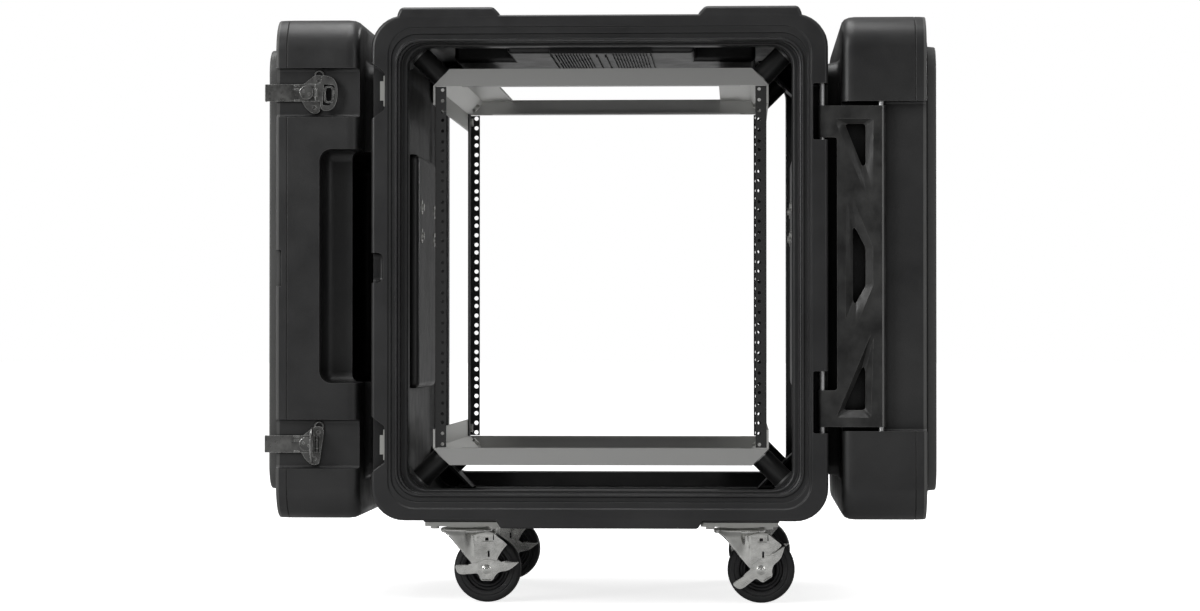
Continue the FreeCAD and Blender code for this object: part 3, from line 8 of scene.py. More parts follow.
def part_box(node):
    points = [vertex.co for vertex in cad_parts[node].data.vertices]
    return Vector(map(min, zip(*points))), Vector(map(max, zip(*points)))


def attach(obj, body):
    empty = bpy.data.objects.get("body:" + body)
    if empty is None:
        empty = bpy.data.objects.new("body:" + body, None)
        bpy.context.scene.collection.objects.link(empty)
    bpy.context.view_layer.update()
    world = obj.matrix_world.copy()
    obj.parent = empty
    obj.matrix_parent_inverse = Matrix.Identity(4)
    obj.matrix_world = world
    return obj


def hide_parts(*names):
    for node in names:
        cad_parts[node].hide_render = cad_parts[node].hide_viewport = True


# Looks of the shock-mounted rack case. Metres, in the frame of the CAD model.

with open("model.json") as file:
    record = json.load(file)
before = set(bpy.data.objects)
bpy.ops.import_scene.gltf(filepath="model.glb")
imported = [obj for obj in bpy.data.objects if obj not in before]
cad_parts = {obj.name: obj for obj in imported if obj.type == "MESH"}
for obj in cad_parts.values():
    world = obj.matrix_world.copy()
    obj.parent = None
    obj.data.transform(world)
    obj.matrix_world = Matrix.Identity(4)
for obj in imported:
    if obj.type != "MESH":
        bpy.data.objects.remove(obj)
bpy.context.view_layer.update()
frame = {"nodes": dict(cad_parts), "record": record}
NODES = frame["nodes"]
MM = 0.001
DOORS = ("front", "rear")
SIDES = (-1, 1)
CASTER_NAMES = ("front_left", "front_right", "rear_left", "rear_right")
# Latches and keepers stand this far above and below the middle of the case
KEEPER_HEIGHT = 0.2575
# Heights of the hinge tabs' spaces in the rim
HINGE_SPACES = ((0.680, 0.762), (0.255, 0.345))
# The door's flange lies this far short of its tongue's tip
TONGUE = 0.016
# The bead on the link, with a painted highlight along it, lies this far beyond the door pin
BEAD_OFFSET = 0.0025


# Materials

SPECULAR = 0.5
# Reach of worn edges, depth of the grain, and grain and direction of the scuffs
EDGE_REACH = 0.0012
GRAIN_DEPTH = 0.0004
SCUFF_SCALE = 46.0
SCUFF_STRETCH = (1, 1, 0.35)
# Painted shade: colour deep inside gaps and recesses, where shade falls
PAINTED_SHADE_TONE = (0.001, 0.001, 0.001)


def link_nodes(tree, source, output, target, socket):
    """Connect an output of one shader node to an input of another."""
    tree.links.new(source.outputs[output], target.inputs[socket])


def colour_output(node):
    """The colour output of a mix node."""
    return [socket for socket in node.outputs if socket.type == "RGBA"][0]


def noise(tree, coords, scale, detail=4.0, stretch=(1, 1, 1), roughness=0.55):
    """A noise texture over object space, stretched along the axes."""
    mapping = tree.nodes.new("ShaderNodeMapping")
    mapping.inputs["Scale"].default_value = stretch
    link_nodes(tree, coords, "Object", mapping, "Vector")
    texture = tree.nodes.new("ShaderNodeTexNoise")
    texture.inputs["Scale"].default_value = scale
    texture.inputs["Detail"].default_value = detail
    texture.inputs["Roughness"].default_value = roughness
    link_nodes(tree, mapping, "Vector", texture, "Vector")
    return texture


def spread(tree, source, low, high, start=0.3, end=0.7, output="Fac"):
    """Map a texture's middle range onto low to high."""
    ramp = tree.nodes.new("ShaderNodeMapRange")
    ramp.inputs["From Min"].default_value = start
    ramp.inputs["From Max"].default_value = end
    ramp.inputs["To Min"].default_value = low
    ramp.inputs["To Max"].default_value = high
    link_nodes(tree, source, output, ramp, "Value")
    return ramp


def mix_colours(tree, factor, dark, light, output="Result"):
    """Colour between dark and light by a factor; either may be a node."""
    mix = tree.nodes.new("ShaderNodeMix")
    mix.data_type = "RGBA"
    link_nodes(tree, factor, output, mix, "Factor")
    for slot_name, colour in (("A", dark), ("B", light)):
        socket = [s for s in mix.inputs if s.name == slot_name and s.type == "RGBA"][0]
        if isinstance(colour, bpy.types.Node):
            tree.links.new(colour_output(colour), socket)
        else:
            socket.default_value = (*colour, 1)
    return mix


def edge_mask(tree, reach, low, high):
    """1 along edges and 0 elsewhere: how far a rounded normal leans away from the true one."""
    rounded = tree.nodes.new("ShaderNodeBevel")
    rounded.samples = 4
    rounded.inputs["Radius"].default_value = reach
    geometry = tree.nodes.new("ShaderNodeNewGeometry")
    agree = tree.nodes.new("ShaderNodeVectorMath")
    agree.operation = "DOT_PRODUCT"
    tree.links.new(rounded.outputs["Normal"], agree.inputs[0])
    tree.links.new(geometry.outputs["Normal"], agree.inputs[1])
    return spread(tree, agree, 0, 1, high, low, "Value")


def side_band(tree, coords, near, far):
    """1 where the distance from the object's middle plane lies between near and far."""
    parts = tree.nodes.new("ShaderNodeSeparateXYZ")
    link_nodes(tree, coords, "Object", parts, "Vector")
    distance = tree.nodes.new("ShaderNodeMath")
    distance.operation = "ABSOLUTE"
    tree.links.new(parts.outputs["X"], distance.inputs[0])
    inside = tree.nodes.new("ShaderNodeMath")
    inside.operation = "COMPARE"
    tree.links.new(distance.outputs[0], inside.inputs[0])
    inside.inputs[1].default_value = (near + far) / 2
    inside.inputs[2].default_value = (far - near) / 2
    return inside


def open_to_light(tree, reach):
    """Mask for the painted shade: 1 on open faces, 0 in narrow gaps and deep recesses, where shade falls."""
    around = tree.nodes.new("ShaderNodeAmbientOcclusion")
    around.samples = 6
    around.inputs["Distance"].default_value = reach
    return spread(tree, around, 0, 1, 0.12, 0.75, "AO")


def surface(name, dark, light, rough, metallic, cloud, grain, bump, stretch, worn, scuffs, band, shade_reach):
    """A procedural finish: clouded colour, uneven gloss, fine grain, worn edges and faint scuffs.

    A band paints a highlight: the part of the piece at some distance from the middle plane gets a lighter
    tone, and the last argument is the reach within which gaps and recesses are darkened with painted shade.
    """
    material = bpy.data.materials.new(name)
    material.use_nodes = True
    tree = material.node_tree
    shader = tree.nodes["Principled BSDF"]
    coords = tree.nodes.new("ShaderNodeTexCoord")
    clouds = noise(tree, coords, cloud, 6.0, stretch)
    colour = mix_colours(tree, spread(tree, clouds, 0, 1), dark, light)
    if scuffs:
        marks = noise(tree, coords, SCUFF_SCALE, 9.0, SCUFF_STRETCH, 0.75)
        colour = mix_colours(tree, spread(tree, marks, 0, scuffs, 0.56, 0.74), colour, light)
    if worn:
        edge = edge_mask(tree, EDGE_REACH, 0.75, 0.985)
        colour = mix_colours(tree, edge, colour, worn)
    # Painted highlight: the band is lightened where light would catch it
    if band:
        near, far, tone = band
        colour = mix_colours(tree, side_band(tree, coords, near, far), colour, tone, "Value")
    shader.inputs["Specular IOR Level"].default_value = SPECULAR
    # Painted shade: gaps and recesses are darkened towards black and their gloss is turned down, where shade
    # falls
    if shade_reach:
        lit_part = open_to_light(tree, shade_reach)
        colour = mix_colours(tree, lit_part, PAINTED_SHADE_TONE, colour)
        shine = spread(tree, lit_part, 0.04, SPECULAR, 0, 1, "Result")
        link_nodes(tree, shine, "Result", shader, "Specular IOR Level")
    tree.links.new(colour_output(colour), shader.inputs["Base Color"])
    shader.inputs["Metallic"].default_value = metallic
    gloss = spread(tree, noise(tree, coords, cloud * 3, 5.0, stretch), rough[0], rough[1])
    link_nodes(tree, gloss, "Result", shader, "Roughness")
    fine = noise(tree, coords, grain, 3.0, stretch)
    relief = tree.nodes.new("ShaderNodeBump")
    relief.inputs["Strength"].default_value = bump
    relief.inputs["Distance"].default_value = GRAIN_DEPTH
    link_nodes(tree, fine, "Fac", relief, "Height")
    link_nodes(tree, relief, "Normal", shader, "Normal")
    return material


# Slot, darkest and lightest colour, roughness range, metal, cloud scale, grain scale and bump.
# A colour of two values has one value for red and green alike, then one for blue
FINISHES = (
    ("case_plastic", (0.0135, 0.0142), (0.024, 0.0245), (0.31, 0.45), 0, 8, 700, 0.35),
    ("door_plastic", (0.014, 0.0145), (0.026, 0.026), (0.32, 0.46), 0, 8, 700, 0.35),
    ("link_plastic", (0.003, 0.003), (0.038, 0.037), (0.3, 0.5), 0, 26, 600, 0.3),
    ("seal_rubber", (0.008, 0.008), (0.016, 0.016), (0.6, 0.75), 0, 8, 900, 0.3),
    ("pin_steel", (0.05, 0.049), (0.12, 0.117), (0.4, 0.55), 1, 60, 900, 0.1),
    ("keeper_steel", (0.1, 0.095), (0.24, 0.235, 0.22), (0.35, 0.5), 1, 60, 900, 0.15),
    ("beam_aluminium", (0.25, 0.246), (0.4, 0.39), (0.28, 0.44), 0.95, 14, 260, 0.3),
    ("corner_aluminium", (0.7, 0.68), (0.95, 0.93), (0.2, 0.34), 0.8, 18, 300, 0.2),
    ("rail_steel", (0.012, 0.012), (0.022, 0.022), (0.38, 0.5), 0, 8, 1600, 0.5),
    ("mount_rubber", (0.006, 0.0065), (0.013, 0.0135), (0.3, 0.45), 0, 20, 900, 0.15),
    ("mount_steel", (0.2, 0.2), (0.4, 0.39), (0.3, 0.45), 1, 50, 900, 0.15),
    ("bracket_steel", (0.012, 0.012), (0.03, 0.03), (0.35, 0.5), 0, 8, 1600, 0.5),
    ("bolt_steel", (0.4, 0.39), (0.7, 0.69, 0.66), (0.22, 0.38), 1, 70, 900, 0.1),
    ("handle_steel", (0.012, 0.012), (0.024, 0.024), (0.32, 0.46), 0, 8, 1500, 0.4),
    ("caster_zinc", (0.52, 0.5), (0.86, 0.83), (0.12, 0.27), 0.95, 34, 420, 0.12),
    ("tyre_rubber", (0.013, 0.014), (0.028, 0.029), (0.5, 0.68), 0, 26, 600, 0.4),
    ("hub_plastic", (0.008, 0.009), (0.018, 0.019), (0.35, 0.5), 0, 24, 900, 0.25),
    ("latch_steel", (0.09, 0.088), (0.22, 0.214), (0.24, 0.4), 0.85, 52, 900, 0.2),
)
# Colour of worn edges
WORN = {
    "case_plastic": (0.095, 0.093), "door_plastic": (0.095, 0.093), "link_plastic": (0.17, 0.165),
    "beam_aluminium": (0.85, 0.83), "corner_aluminium": (1.0, 0.98), "rail_steel": (0.1, 0.1),
    "bracket_steel": (0.16, 0.16), "caster_zinc": (1.0, 0.98), "tyre_rubber": (0.05, 0.05),
    "latch_steel": (0.8, 0.78),
}
SCUFFS = {"case_plastic": 0.3, "door_plastic": 0.35, "link_plastic": 0.9, "tyre_rubber": 0.4}
# Reach of the painted shade in gaps and recesses, for each finish
PAINTED_SHADE_REACHES = {"case_plastic": 0.045, "door_plastic": 0.045, "link_plastic": 0.02}
STRETCHES = {"beam_aluminium": (0.06, 1, 3), "corner_aluminium": (3, 0.04, 3)}


def three(colour):
    """Red, green and blue of a colour that may be written as two values."""
    return (colour[0], *colour) if len(colour) == 2 else colour


def make_materials():
    """One finish for each material slot of the record."""
    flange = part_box("front_door_shell")[1].x - TONGUE
    link_low, link_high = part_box("front_door_link")
    bead = link_high.x - (link_high.y - link_low.y) / 2 + BEAD_OFFSET
    # Painted highlights: a lighter strip on the door's tongue, and a lighter line along the link's bead
    painted_highlights = {
        "door_plastic": (flange - 0.0045, flange + 0.02, (0.085, 0.085, 0.083)),
        "link_plastic": (bead - 0.0014, bead + 0.0014, (0.11, 0.11, 0.108)),
    }
    finished = {}
    for name, dark, light, rough, metallic, cloud, grain, bump in FINISHES:
        worn = three(WORN[name]) if name in WORN else None
        finished[name] = surface(
            name, three(dark), three(light), rough, metallic, cloud, grain, bump,
            STRETCHES.get(name, (1, 1, 1)), worn, SCUFFS.get(name, 0), painted_highlights.get(name), PAINTED_SHADE_REACHES.get(name))
    return finished


materials = make_materials()
NODE_SLOTS = {entry["node"]: entry["material_slot"] for entry in frame["record"]["subparts"]}
NODE_BODIES = {
    name: body for body, names in frame["record"]["behaviour"]["bodies"].items() for name in names
}


def dress(piece, slot_name):
    """Give a piece the finish of a material slot."""
    piece.data.materials.clear()
    piece.data.materials.append(materials[slot_name])


def adopt(piece, *node_names):
    """Let a new piece stand for CAD nodes: same body, same finish."""
    even_normals(piece)
    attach(piece, NODE_BODIES[node_names[0]])
    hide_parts(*node_names)
    dress(piece, NODE_SLOTS[node_names[0]])


# Mesh helpers

def new_object(name, data):
    """An object in the scene that shows the data."""
    thing = bpy.data.objects.new(name, data)
    bpy.context.scene.collection.objects.link(thing)
    return thing


def new_piece(name, points, faces, smooth_angle=35):
    """A mesh object with smooth shading that breaks at sharp edges."""
    mesh = bpy.data.meshes.new(name)
    mesh.from_pydata(points, [], faces)
    mesh.validate()
    piece = new_object(name, mesh)
    tidy_normals(piece)
    shade(piece, smooth_angle)
    return piece


def tidy_normals(piece):
    """Turn all faces outwards."""
    work = bmesh.new()
    work.from_mesh(piece.data)
    bmesh.ops.recalc_face_normals(work, faces=work.faces)
    work.to_mesh(piece.data)
    work.free()


def shade(piece, angle=35):
    """Smooth shading except across edges sharper than the angle."""
    mesh = piece.data
    mesh.shade_smooth()
    mesh.set_sharp_from_angle(angle=math.radians(angle))


def even_normals(piece):
    """Keep large flat faces evenly lit by weighting the normals by face size."""
    weights = piece.modifiers.new("even_normals", "WEIGHTED_NORMAL")
    weights.keep_sharp = True
    apply_modifiers(piece)


def apply_modifiers(piece):
    """Replace the mesh by what its modifiers make of it."""
    graph = bpy.context.evaluated_depsgraph_get()
    graph.update()
    mesh = bpy.data.meshes.new_from_object(piece.evaluated_get(graph))
    piece.modifiers.clear()
    piece.data = mesh


def rounded_ring(half_a, half_b, radius, steps=9):
    """Points of a rounded rectangle, counter-clockwise."""
    points = []
    for quarter, (side_a, side_b) in enumerate(((1, 1), (-1, 1), (-1, -1), (1, -1))):
        for step in range(steps + 1):
            angle = math.radians(90 * (quarter + step / steps))
            points.append((
                side_a * (half_a - radius) + radius * math.cos(angle),
                side_b * (half_b - radius) + radius * math.sin(angle),
            ))
    return points


def circle(radius, steps, centre=(0, 0)):
    """Points of a circle, counter-clockwise."""
    turns = [math.tau * step / steps for step in range(steps)]
    return [(centre[0] + radius * math.cos(turn), centre[1] + radius * math.sin(turn)) for turn in turns]


def soften(profile, closed=False, steps=4):
    """Round a profile's corners: each point is a tuple that ends with its rounding distance."""
    softened = []
    count = len(profile)
    for index, (*here, radius) in enumerate(profile):
        point = Vector(here)
        if radius == 0 or (not closed and index in (0, count - 1)):
            softened.append(point)
            continue
        before = Vector(profile[index - 1][:-1])
        after = Vector(profile[(index + 1) % count][:-1])
        start = point + (before - point).normalized() * min(radius, (before - point).length * 0.48)
        end = point + (after - point).normalized() * min(radius, (after - point).length * 0.48)
        for step in range(steps + 1):
            part = step / steps
            softened.append(start * (1 - part) ** 2 + point * 2 * part * (1 - part) + end * part ** 2)
    return softened


def loft(name, rings, closed=False):
    """Skin a list of equal rings; an open loft gets a cap at both ends."""
    size = len(rings[0])
    points = [point for ring in rings for point in ring]
    faces = []
    for level in range(len(rings) if closed else len(rings) - 1):
        base = level * size
        above = ((level + 1) % len(rings)) * size
        for step in range(size):
            following = (step + 1) % size
            faces.append((base + step, base + following, above + following, above + step))
    if not closed:
        faces.append(tuple(reversed(range(size))))
        faces.append(tuple(range((len(rings) - 1) * size, len(rings) * size)))
    return new_piece(name, points, faces)


def soft_box(name, low, high, radius, segments=4):
    """A box with rounded edges."""
    work = bmesh.new()
    bmesh.ops.create_cube(work, size=1)
    size = Vector(high) - Vector(low)
    middle = (Vector(high) + Vector(low)) / 2
    bmesh.ops.scale(work, vec=size, verts=work.verts)
    bmesh.ops.translate(work, vec=middle, verts=work.verts)
    if radius:
        bmesh.ops.bevel(
            work, geom=work.edges[:], offset=radius, segments=segments, profile=0.5, affect="EDGES")
    mesh = bpy.data.meshes.new(name)
    work.to_mesh(mesh)
    work.free()
    piece = new_object(name, mesh)
    shade(piece)
    return piece


def prism(name, outline, axis, low, high):
    """An outline drawn on the two other axes, in X, Y, Z order, pushed along one axis."""
    index = "xyz".index(axis)
    rings = []
    for level in (low, high):
        rings.append([tuple(list(point[:index]) + [level] + list(point[index:])) for point in outline])
    return loft(name, rings)


def turned(name, profile, steps, closed=True):
    """Surface of revolution about the Y axis; the profile is radius and place along Y, in millimetres."""
    rings = []
    for radius, along in profile:
        rings.append([(a * MM, along * MM, b * MM) for a, b in circle(radius, steps)])
    return loft(name, rings, closed)


def carve(piece, tools, operation="DIFFERENCE"):
    """Cut tools out of a piece, or join them to it, and drop the tools."""
    for tool in tools:
        modifier = piece.modifiers.new("carve", "BOOLEAN")
        modifier.operation = operation
        modifier.solver = "EXACT"
        modifier.object = tool
    apply_modifiers(piece)
    for tool in tools:
        bpy.data.objects.remove(tool)


def join(piece, others):
    """Add the meshes of other pieces to a piece as they are, and drop the others."""
    work = bmesh.new()
    for thing in [piece] + others:
        work.from_mesh(thing.data)
    work.to_mesh(piece.data)
    work.free()
    for thing in others:
        bpy.data.objects.remove(thing)


def soften_edges(piece, width, segments=2, angle=38):
    """Bevel the edges that booleans leave sharp."""
    work = bmesh.new()
    work.from_mesh(piece.data)
    bmesh.ops.remove_doubles(work, verts=work.verts, dist=0.00002)
    bmesh.ops.dissolve_limit(
        work, angle_limit=math.radians(0.4), verts=work.verts, edges=work.edges, delimit={"NORMAL"})
    work.to_mesh(piece.data)
    work.free()
    bevel = piece.modifiers.new("soft_edges", "BEVEL")
    bevel.width = width
    bevel.segments = segments
    bevel.limit_method = "ANGLE"
    bevel.angle_limit = math.radians(angle)
    bevel.use_clamp_overlap = True
    apply_modifiers(piece)
    shade(piece, 32)


def refined(node_name, width, angle=30):
    """A copy of a CAD node with its tessellation merged and its edges softened."""
    source = NODES[node_name]
    piece = new_object("soft_" + node_name, source.data.copy())
    soften_edges(piece, width, 2, angle)
    adopt(piece, node_name)


# Case

def mirror_y(profile):
    """The same profile at the other end, so that the whole is one closed loop."""
    return [(a, b, -y, radius) for a, b, y, radius in reversed(profile)]


def moulded_ring(half_run, side_inset, top_inset):
    """Ring of a moulding at some distance in from its outline, as run and height; insets in millimetres."""
    radius = max(48 - 0.35 * side_inset, 12)
    half_height = CASE["half_height"] - top_inset * MM
    flat = rounded_ring(half_run - side_inset * MM, half_height, radius * MM)
    return [(a, CASE["middle"] + b) for a, b in flat]


def case_measures():
    """Sizes of the case, read from the CAD shell and its neighbours."""
    low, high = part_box("body_shell")
    rim_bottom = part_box("front_door_shell")[0].z
    rim_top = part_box("front_door_shell")[1].z
    return {
        "half_width": high.x,
        "half_depth": high.y,
        "half_height": (rim_top - rim_bottom) / 2,
        "middle": (rim_top + rim_bottom) / 2,
        "top": high.z,
        "bottom": low.z,
    }


CASE = case_measures()


def case_rings():
    """Rings of the case: outer wall, rim, stepped rim face, collar, inner wall and back.

    Each line is the inset at the sides, the inset at top and bottom, the depth and the corner's rounding.
    """
    half_depth = CASE["half_depth"] / MM
    front = -half_depth
    profile = [
        (24, 10, front + 44, 6),
        (0, 0, front + 39, 5),
        (0, 0, front, 7),
        (24, 17, front, 1.2),
        (25.6, 18.6, front + 2.4, 1.2),
        (28.6, 27, front + 2.4, 1),
        (29.6, 28.4, front + 5, 1),
        (34.4, 34, front + 5, 1),
        (35.4, 35.4, front + 1.6, 1.2),
        (37.6, 37.8, front + 1.6, 1),
        (38.6, 38.4, front + 8, 1.5),
        (41.5, 39.5, front + 9, 1),
        (42.5, 40, front + 20, 1.5),
        (50, 43.5, front + 20, 2.5),
        (52, 44.75, front + 24, 3),
        (52, 44.75, front + 48, 4),
        (31, 17, front + 56, 8),
    ]
    loop = soften(profile + mirror_y(profile), closed=True)
    rings = []
    for side_inset, top_inset, depth in loop:
        flat = moulded_ring(CASE["half_width"], side_inset, top_inset)
        rings.append([(a, depth * MM, height) for a, height in flat])
    return rings


def pad_blocks():
    """Stacking pads on top, ridge and caster seats below."""
    blocks = []
    inner, outer, slope = 0.143, 0.295, 0.011
    length = 0.2
    foot = CASE["middle"] + CASE["half_height"] - 0.012
    depth = CASE["half_depth"] - 0.0004
    for side in SIDES:
        for end in SIDES:
            outline = [
                (side * inner, foot), (side * outer, foot), (side * outer, CASE["top"] - 0.012),
                (side * (outer - slope / 2), CASE["top"]), (side * (inner + slope), CASE["top"]),
                (side * inner, CASE["top"] - 0.0116),
            ]
            ends = sorted((end * depth, end * (depth - length)))
            block = prism("pad", outline, "y", *ends)
            soften_edges(block, 0.005, 3, 20)
            blocks.append(block)
    skin = CASE["middle"] - CASE["half_height"] + 0.012
    outline = [
        (-0.143, CASE["bottom"]), (0.143, CASE["bottom"]), (0.15, CASE["bottom"] + 0.011),
        (0.15, skin), (-0.15, skin), (-0.15, CASE["bottom"] + 0.011),
    ]
    ridge = prism("ridge", outline, "y", -depth, depth)
    soften_edges(ridge, 0.003, 3, 20)
    blocks.append(ridge)
    blocks.append(soft_box("cross_ridge", (-0.295, -0.143, CASE["bottom"]), (0.295, 0.143, skin), 0.003))
    seat_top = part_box("caster_plates")[1].z
    reach = 0.114
    far_x, far_y = (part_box("caster_plates")[1] + Vector((0.0015, 0.0015, 0))).xy
    for side in SIDES:
        for end in SIDES:
            across = sorted((side * far_x, side * (far_x - reach)))
            along = sorted((end * far_y, end * (far_y - reach)))
            low, high = zip(across, along)
            blocks.append(soft_box("seat", (*low, seat_top), (*high, skin), 0.002))
    return blocks


def pocket_blocks(name, past_wall, depth, half_length, half_height, radius):
    """A rounded block for the handle pocket in each side wall."""
    wall = CASE["half_width"] - 0.024
    blocks = []
    for side in SIDES:
        across = sorted((side * (wall + past_wall), side * (wall - depth)))
        low = (across[0], -half_length, CASE["middle"] - half_height)
        high = (across[1], half_length, CASE["middle"] + half_height)
        blocks.append(soft_box(name, low, high, radius))
    return blocks


def pocket_liners():
    """Inward bulge of the handle pockets."""
    return pocket_blocks("pocket_liner", -0.003, 0.024, 0.13, 0.179, 0.0095)


def pocket_spaces():
    """Hollow of the handle pockets."""
    return pocket_blocks("pocket_space", 0.03, 0.017, 0.123, 0.172, 0.012)


# Ceiling: height of its lowered face, distance from rib to rib, half width of the ribbed panel
CEILING = 0.811
RIB_PITCH = 0.00445
PANEL_HALF = 0.071


def ceiling_blocks():
    """Lowered ceiling between the stacking pads: a middle band and a long strip with a raised centre line."""
    roof = CASE["middle"] + CASE["half_height"] - 0.014
    panel = PANEL_HALF + 0.004
    return [
        soft_box("band", (-0.228, -0.152, CEILING), (0.228, 0.152, roof), 0.008),
        soft_box("strip", (-0.138, -0.297, CEILING), (0.138, 0.272, roof), 0.008),
        soft_box("panel", (-panel, -0.299, CEILING - 0.0006), (panel, 0.2, roof), 0.0005, 2),
    ]


def panel_ribs():
    """Fine ribs on the ceiling panel, parted by a diamond at each end and a smooth centre line."""
    points, faces = [], []
    middle, half_run, gap = 0.16, 0.123, 0.006
    first_rib, shortest = 0.018, 0.004

    def rib(across, start, end, width=0.0008, drop=0.0038):
        if end - start < shortest:
            return
        first = len(points)
        for along, inset in ((start, 0), (start + 0.001, drop), (end - 0.001, drop), (end, 0)):
            for side in SIDES:
                points.append((across + side * width * (1.0 if inset == 0 else 0.6), along, CEILING - inset))
        for step in (0, 2, 4):
            here = first + step
            faces.append((here, here + 1, here + 3, here + 2))
        faces.append((first, first + 2, first + 4, first + 6))
        faces.append((first + 1, first + 3, first + 5, first + 7))
        faces.append((first, first + 6, first + 7, first + 1))

    count = int((PANEL_HALF - first_rib) / RIB_PITCH) + 1
    for end, limit in ((-1, 0.298), (1, 0.199)):
        for side in SIDES:
            for number in range(count):
                reach = first_rib + number * RIB_PITCH
                half = half_run * (1 - reach / PANEL_HALF)
                outer, inner = middle + half, middle - half
                runs = ((limit, outer + gap), (outer - gap, inner + gap), (inner - gap, first_rib))
                for far, near in runs:
                    far = min(far, limit)
                    if far > near:
                        rib(side * reach, *sorted((end * far, end * near)))
            rib(side * 0.0065, *sorted((end * (limit - 0.02), end * 0.02)), 0.0016, 0.0045)
            rib(side * (PANEL_HALF + 0.0025), *sorted((end * limit, end * 0.004)), 0.0012, 0.0045)
    return new_piece("ribs", points, faces, 20)


def rim_notches():
    """Recesses in the rim edges: keepers and grip on the latch side, hinge on the other."""
    tools = []
    width = CASE["half_width"]
    face = CASE["half_depth"]
    for side in SIDES:
        ends = sorted((side * (face + 0.01), side * (face - 0.032)))
        for level in (-1, 1):
            middle = CASE["middle"] + level * KEEPER_HEIGHT
            mouth = 0.0495
            outline = [
                (side * (width + 0.01), middle - mouth), (side * (width - 0.02), middle - 0.027),
                (side * (width - 0.02), middle + 0.027), (side * (width + 0.01), middle + mouth),
            ]
            tool = prism("keeper_space", outline, "y", *ends)
            soften_edges(tool, 0.003, 3, 20)
            tools.append(tool)
        across = sorted((side * (width + 0.02), side * (width - 0.018)))
        low = (across[0], ends[0], CASE["middle"] - 0.022)
        tools.append(soft_box("grip_space", low, (across[1], ends[1], CASE["middle"] + 0.022), 0.009))
        across = sorted((-side * (width + 0.02), -side * (width - 0.022)))
        for bottom, top in HINGE_SPACES:
            low = (across[0], ends[0], bottom)
            tools.append(soft_box("hinge_space", low, (across[1], ends[1], top), 0.003))
    return tools


def build_case():
    """The moulded case as one mesh."""
    case = loft("case", case_rings(), closed=True)
    carve(case, pad_blocks() + pocket_liners() + ceiling_blocks(), "UNION")
    carve(case, pocket_spaces() + rim_notches())
    soften_edges(case, 0.0016, 2, 40)
    join(case, [panel_ribs()])
    adopt(case, "body_shell")


build_case()


# Doors, built as the front door; the rear door is the same after a half turn

def door_measures():
    """Places on the front door, read from the CAD shell."""
    low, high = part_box("front_door_shell")
    return {
        "crown": low.x,
        "outer": low.x + 0.025,
        "tip": high.x,
        "flange": high.x - TONGUE,
        "middle_y": (low.y + high.y) / 2,
        "half_length": (high.y - low.y) / 2,
        "hinge_side": low.y,
        "free_side": high.y,
    }


DOOR = door_measures()


def door_rings():
    """Rings from the middle of the crowned outer face round to the middle of the inside."""
    depth = 123
    profile = [
        (150, 150, -25, 0),
        (66, 66, -25, 9),
        (61, 61, 0, 8),
        (0, 0, 0, 20),
        (0, 0, depth - 17, 0.6),
        (1.0, 1.0, depth - 16.2, 0.4),
        (0, 0, depth - 15.4, 0.6),
        (0.6, 0.6, depth, 3),
        (29, 29, depth, 0.8),
        (30, 30, depth - 2, 0.8),
        (36, 36, depth - 2, 0.8),
        (37, 37, depth, 0.8),
        (40.8, 40.95, depth, 1.5),
        (42.4, 42.4, depth + 16, 3),
        (48.5, 48.75, depth + 16, 3),
        (49.5, 49.75, depth - 28, 3),
        (33, 15, depth - 16 - 16, 6),
        (33, 15, 8, 14),
        (67, 67, 8, 6),
        (68, 68, -18, 6),
        (150, 150, -18, 0),
    ]
    rings = []
    for side_inset, top_inset, along in soften(profile):
        x = DOOR["outer"] + along * MM
        flat = moulded_ring(DOOR["half_length"], side_inset, top_inset)
        rings.append([(x, DOOR["middle_y"] + a, height) for a, height in flat])
    return rings


# Hand scoop: run along the door, depth, heights, run of its mouth, and the web behind the mouth
SCOOP_RUN = 0.46
SCOOP_DEPTH = 0.059
SCOOP_HEIGHTS = (0.327, 0.670)
SCOOP_MOUTH = 0.046
SCOOP_WEB = 0.006


def scoop_liner():
    """Bulge of the hand scoop on the inside of the door, and its walls up to the crown."""
    wall = 0.007
    low = (DOOR["outer"] + 0.003, DOOR["free_side"] - SCOOP_RUN - wall, SCOOP_HEIGHTS[0] - wall)
    high = (DOOR["outer"] + SCOOP_DEPTH + wall, DOOR["free_side"] - 0.006, SCOOP_HEIGHTS[1] + wall)
    neck_low = (DOOR["crown"] + 0.003, low[1], low[2])
    neck_high = (DOOR["outer"] + 0.03, DOOR["free_side"] - 0.0665, high[2])
    return [soft_box("scoop_liner", low, high, 0.02, 6), soft_box("scoop_neck", neck_low, neck_high, 0)]


def scoop_spaces():
    """Hand scoop: a mouth in the free side, a web behind it, and a long channel under the crown."""
    out = DOOR["crown"] - 0.03
    free = DOOR["free_side"]
    bottom, top = SCOOP_HEIGHTS
    deep = DOOR["outer"] + SCOOP_DEPTH
    shallow = DOOR["outer"] + 0.016
    web = free - SCOOP_MOUTH - SCOOP_WEB
    return [
        soft_box("mouth", (out, free - SCOOP_MOUTH, bottom), (deep, free + 0.03, top), 0.018, 6),
        soft_box("channel", (out, free - SCOOP_RUN, bottom), (deep, web, top), 0.018, 6),
        soft_box("way_in", (out, free - 0.1, bottom + 0.001), (shallow, free, top - 0.001), 0.012, 6),
    ]


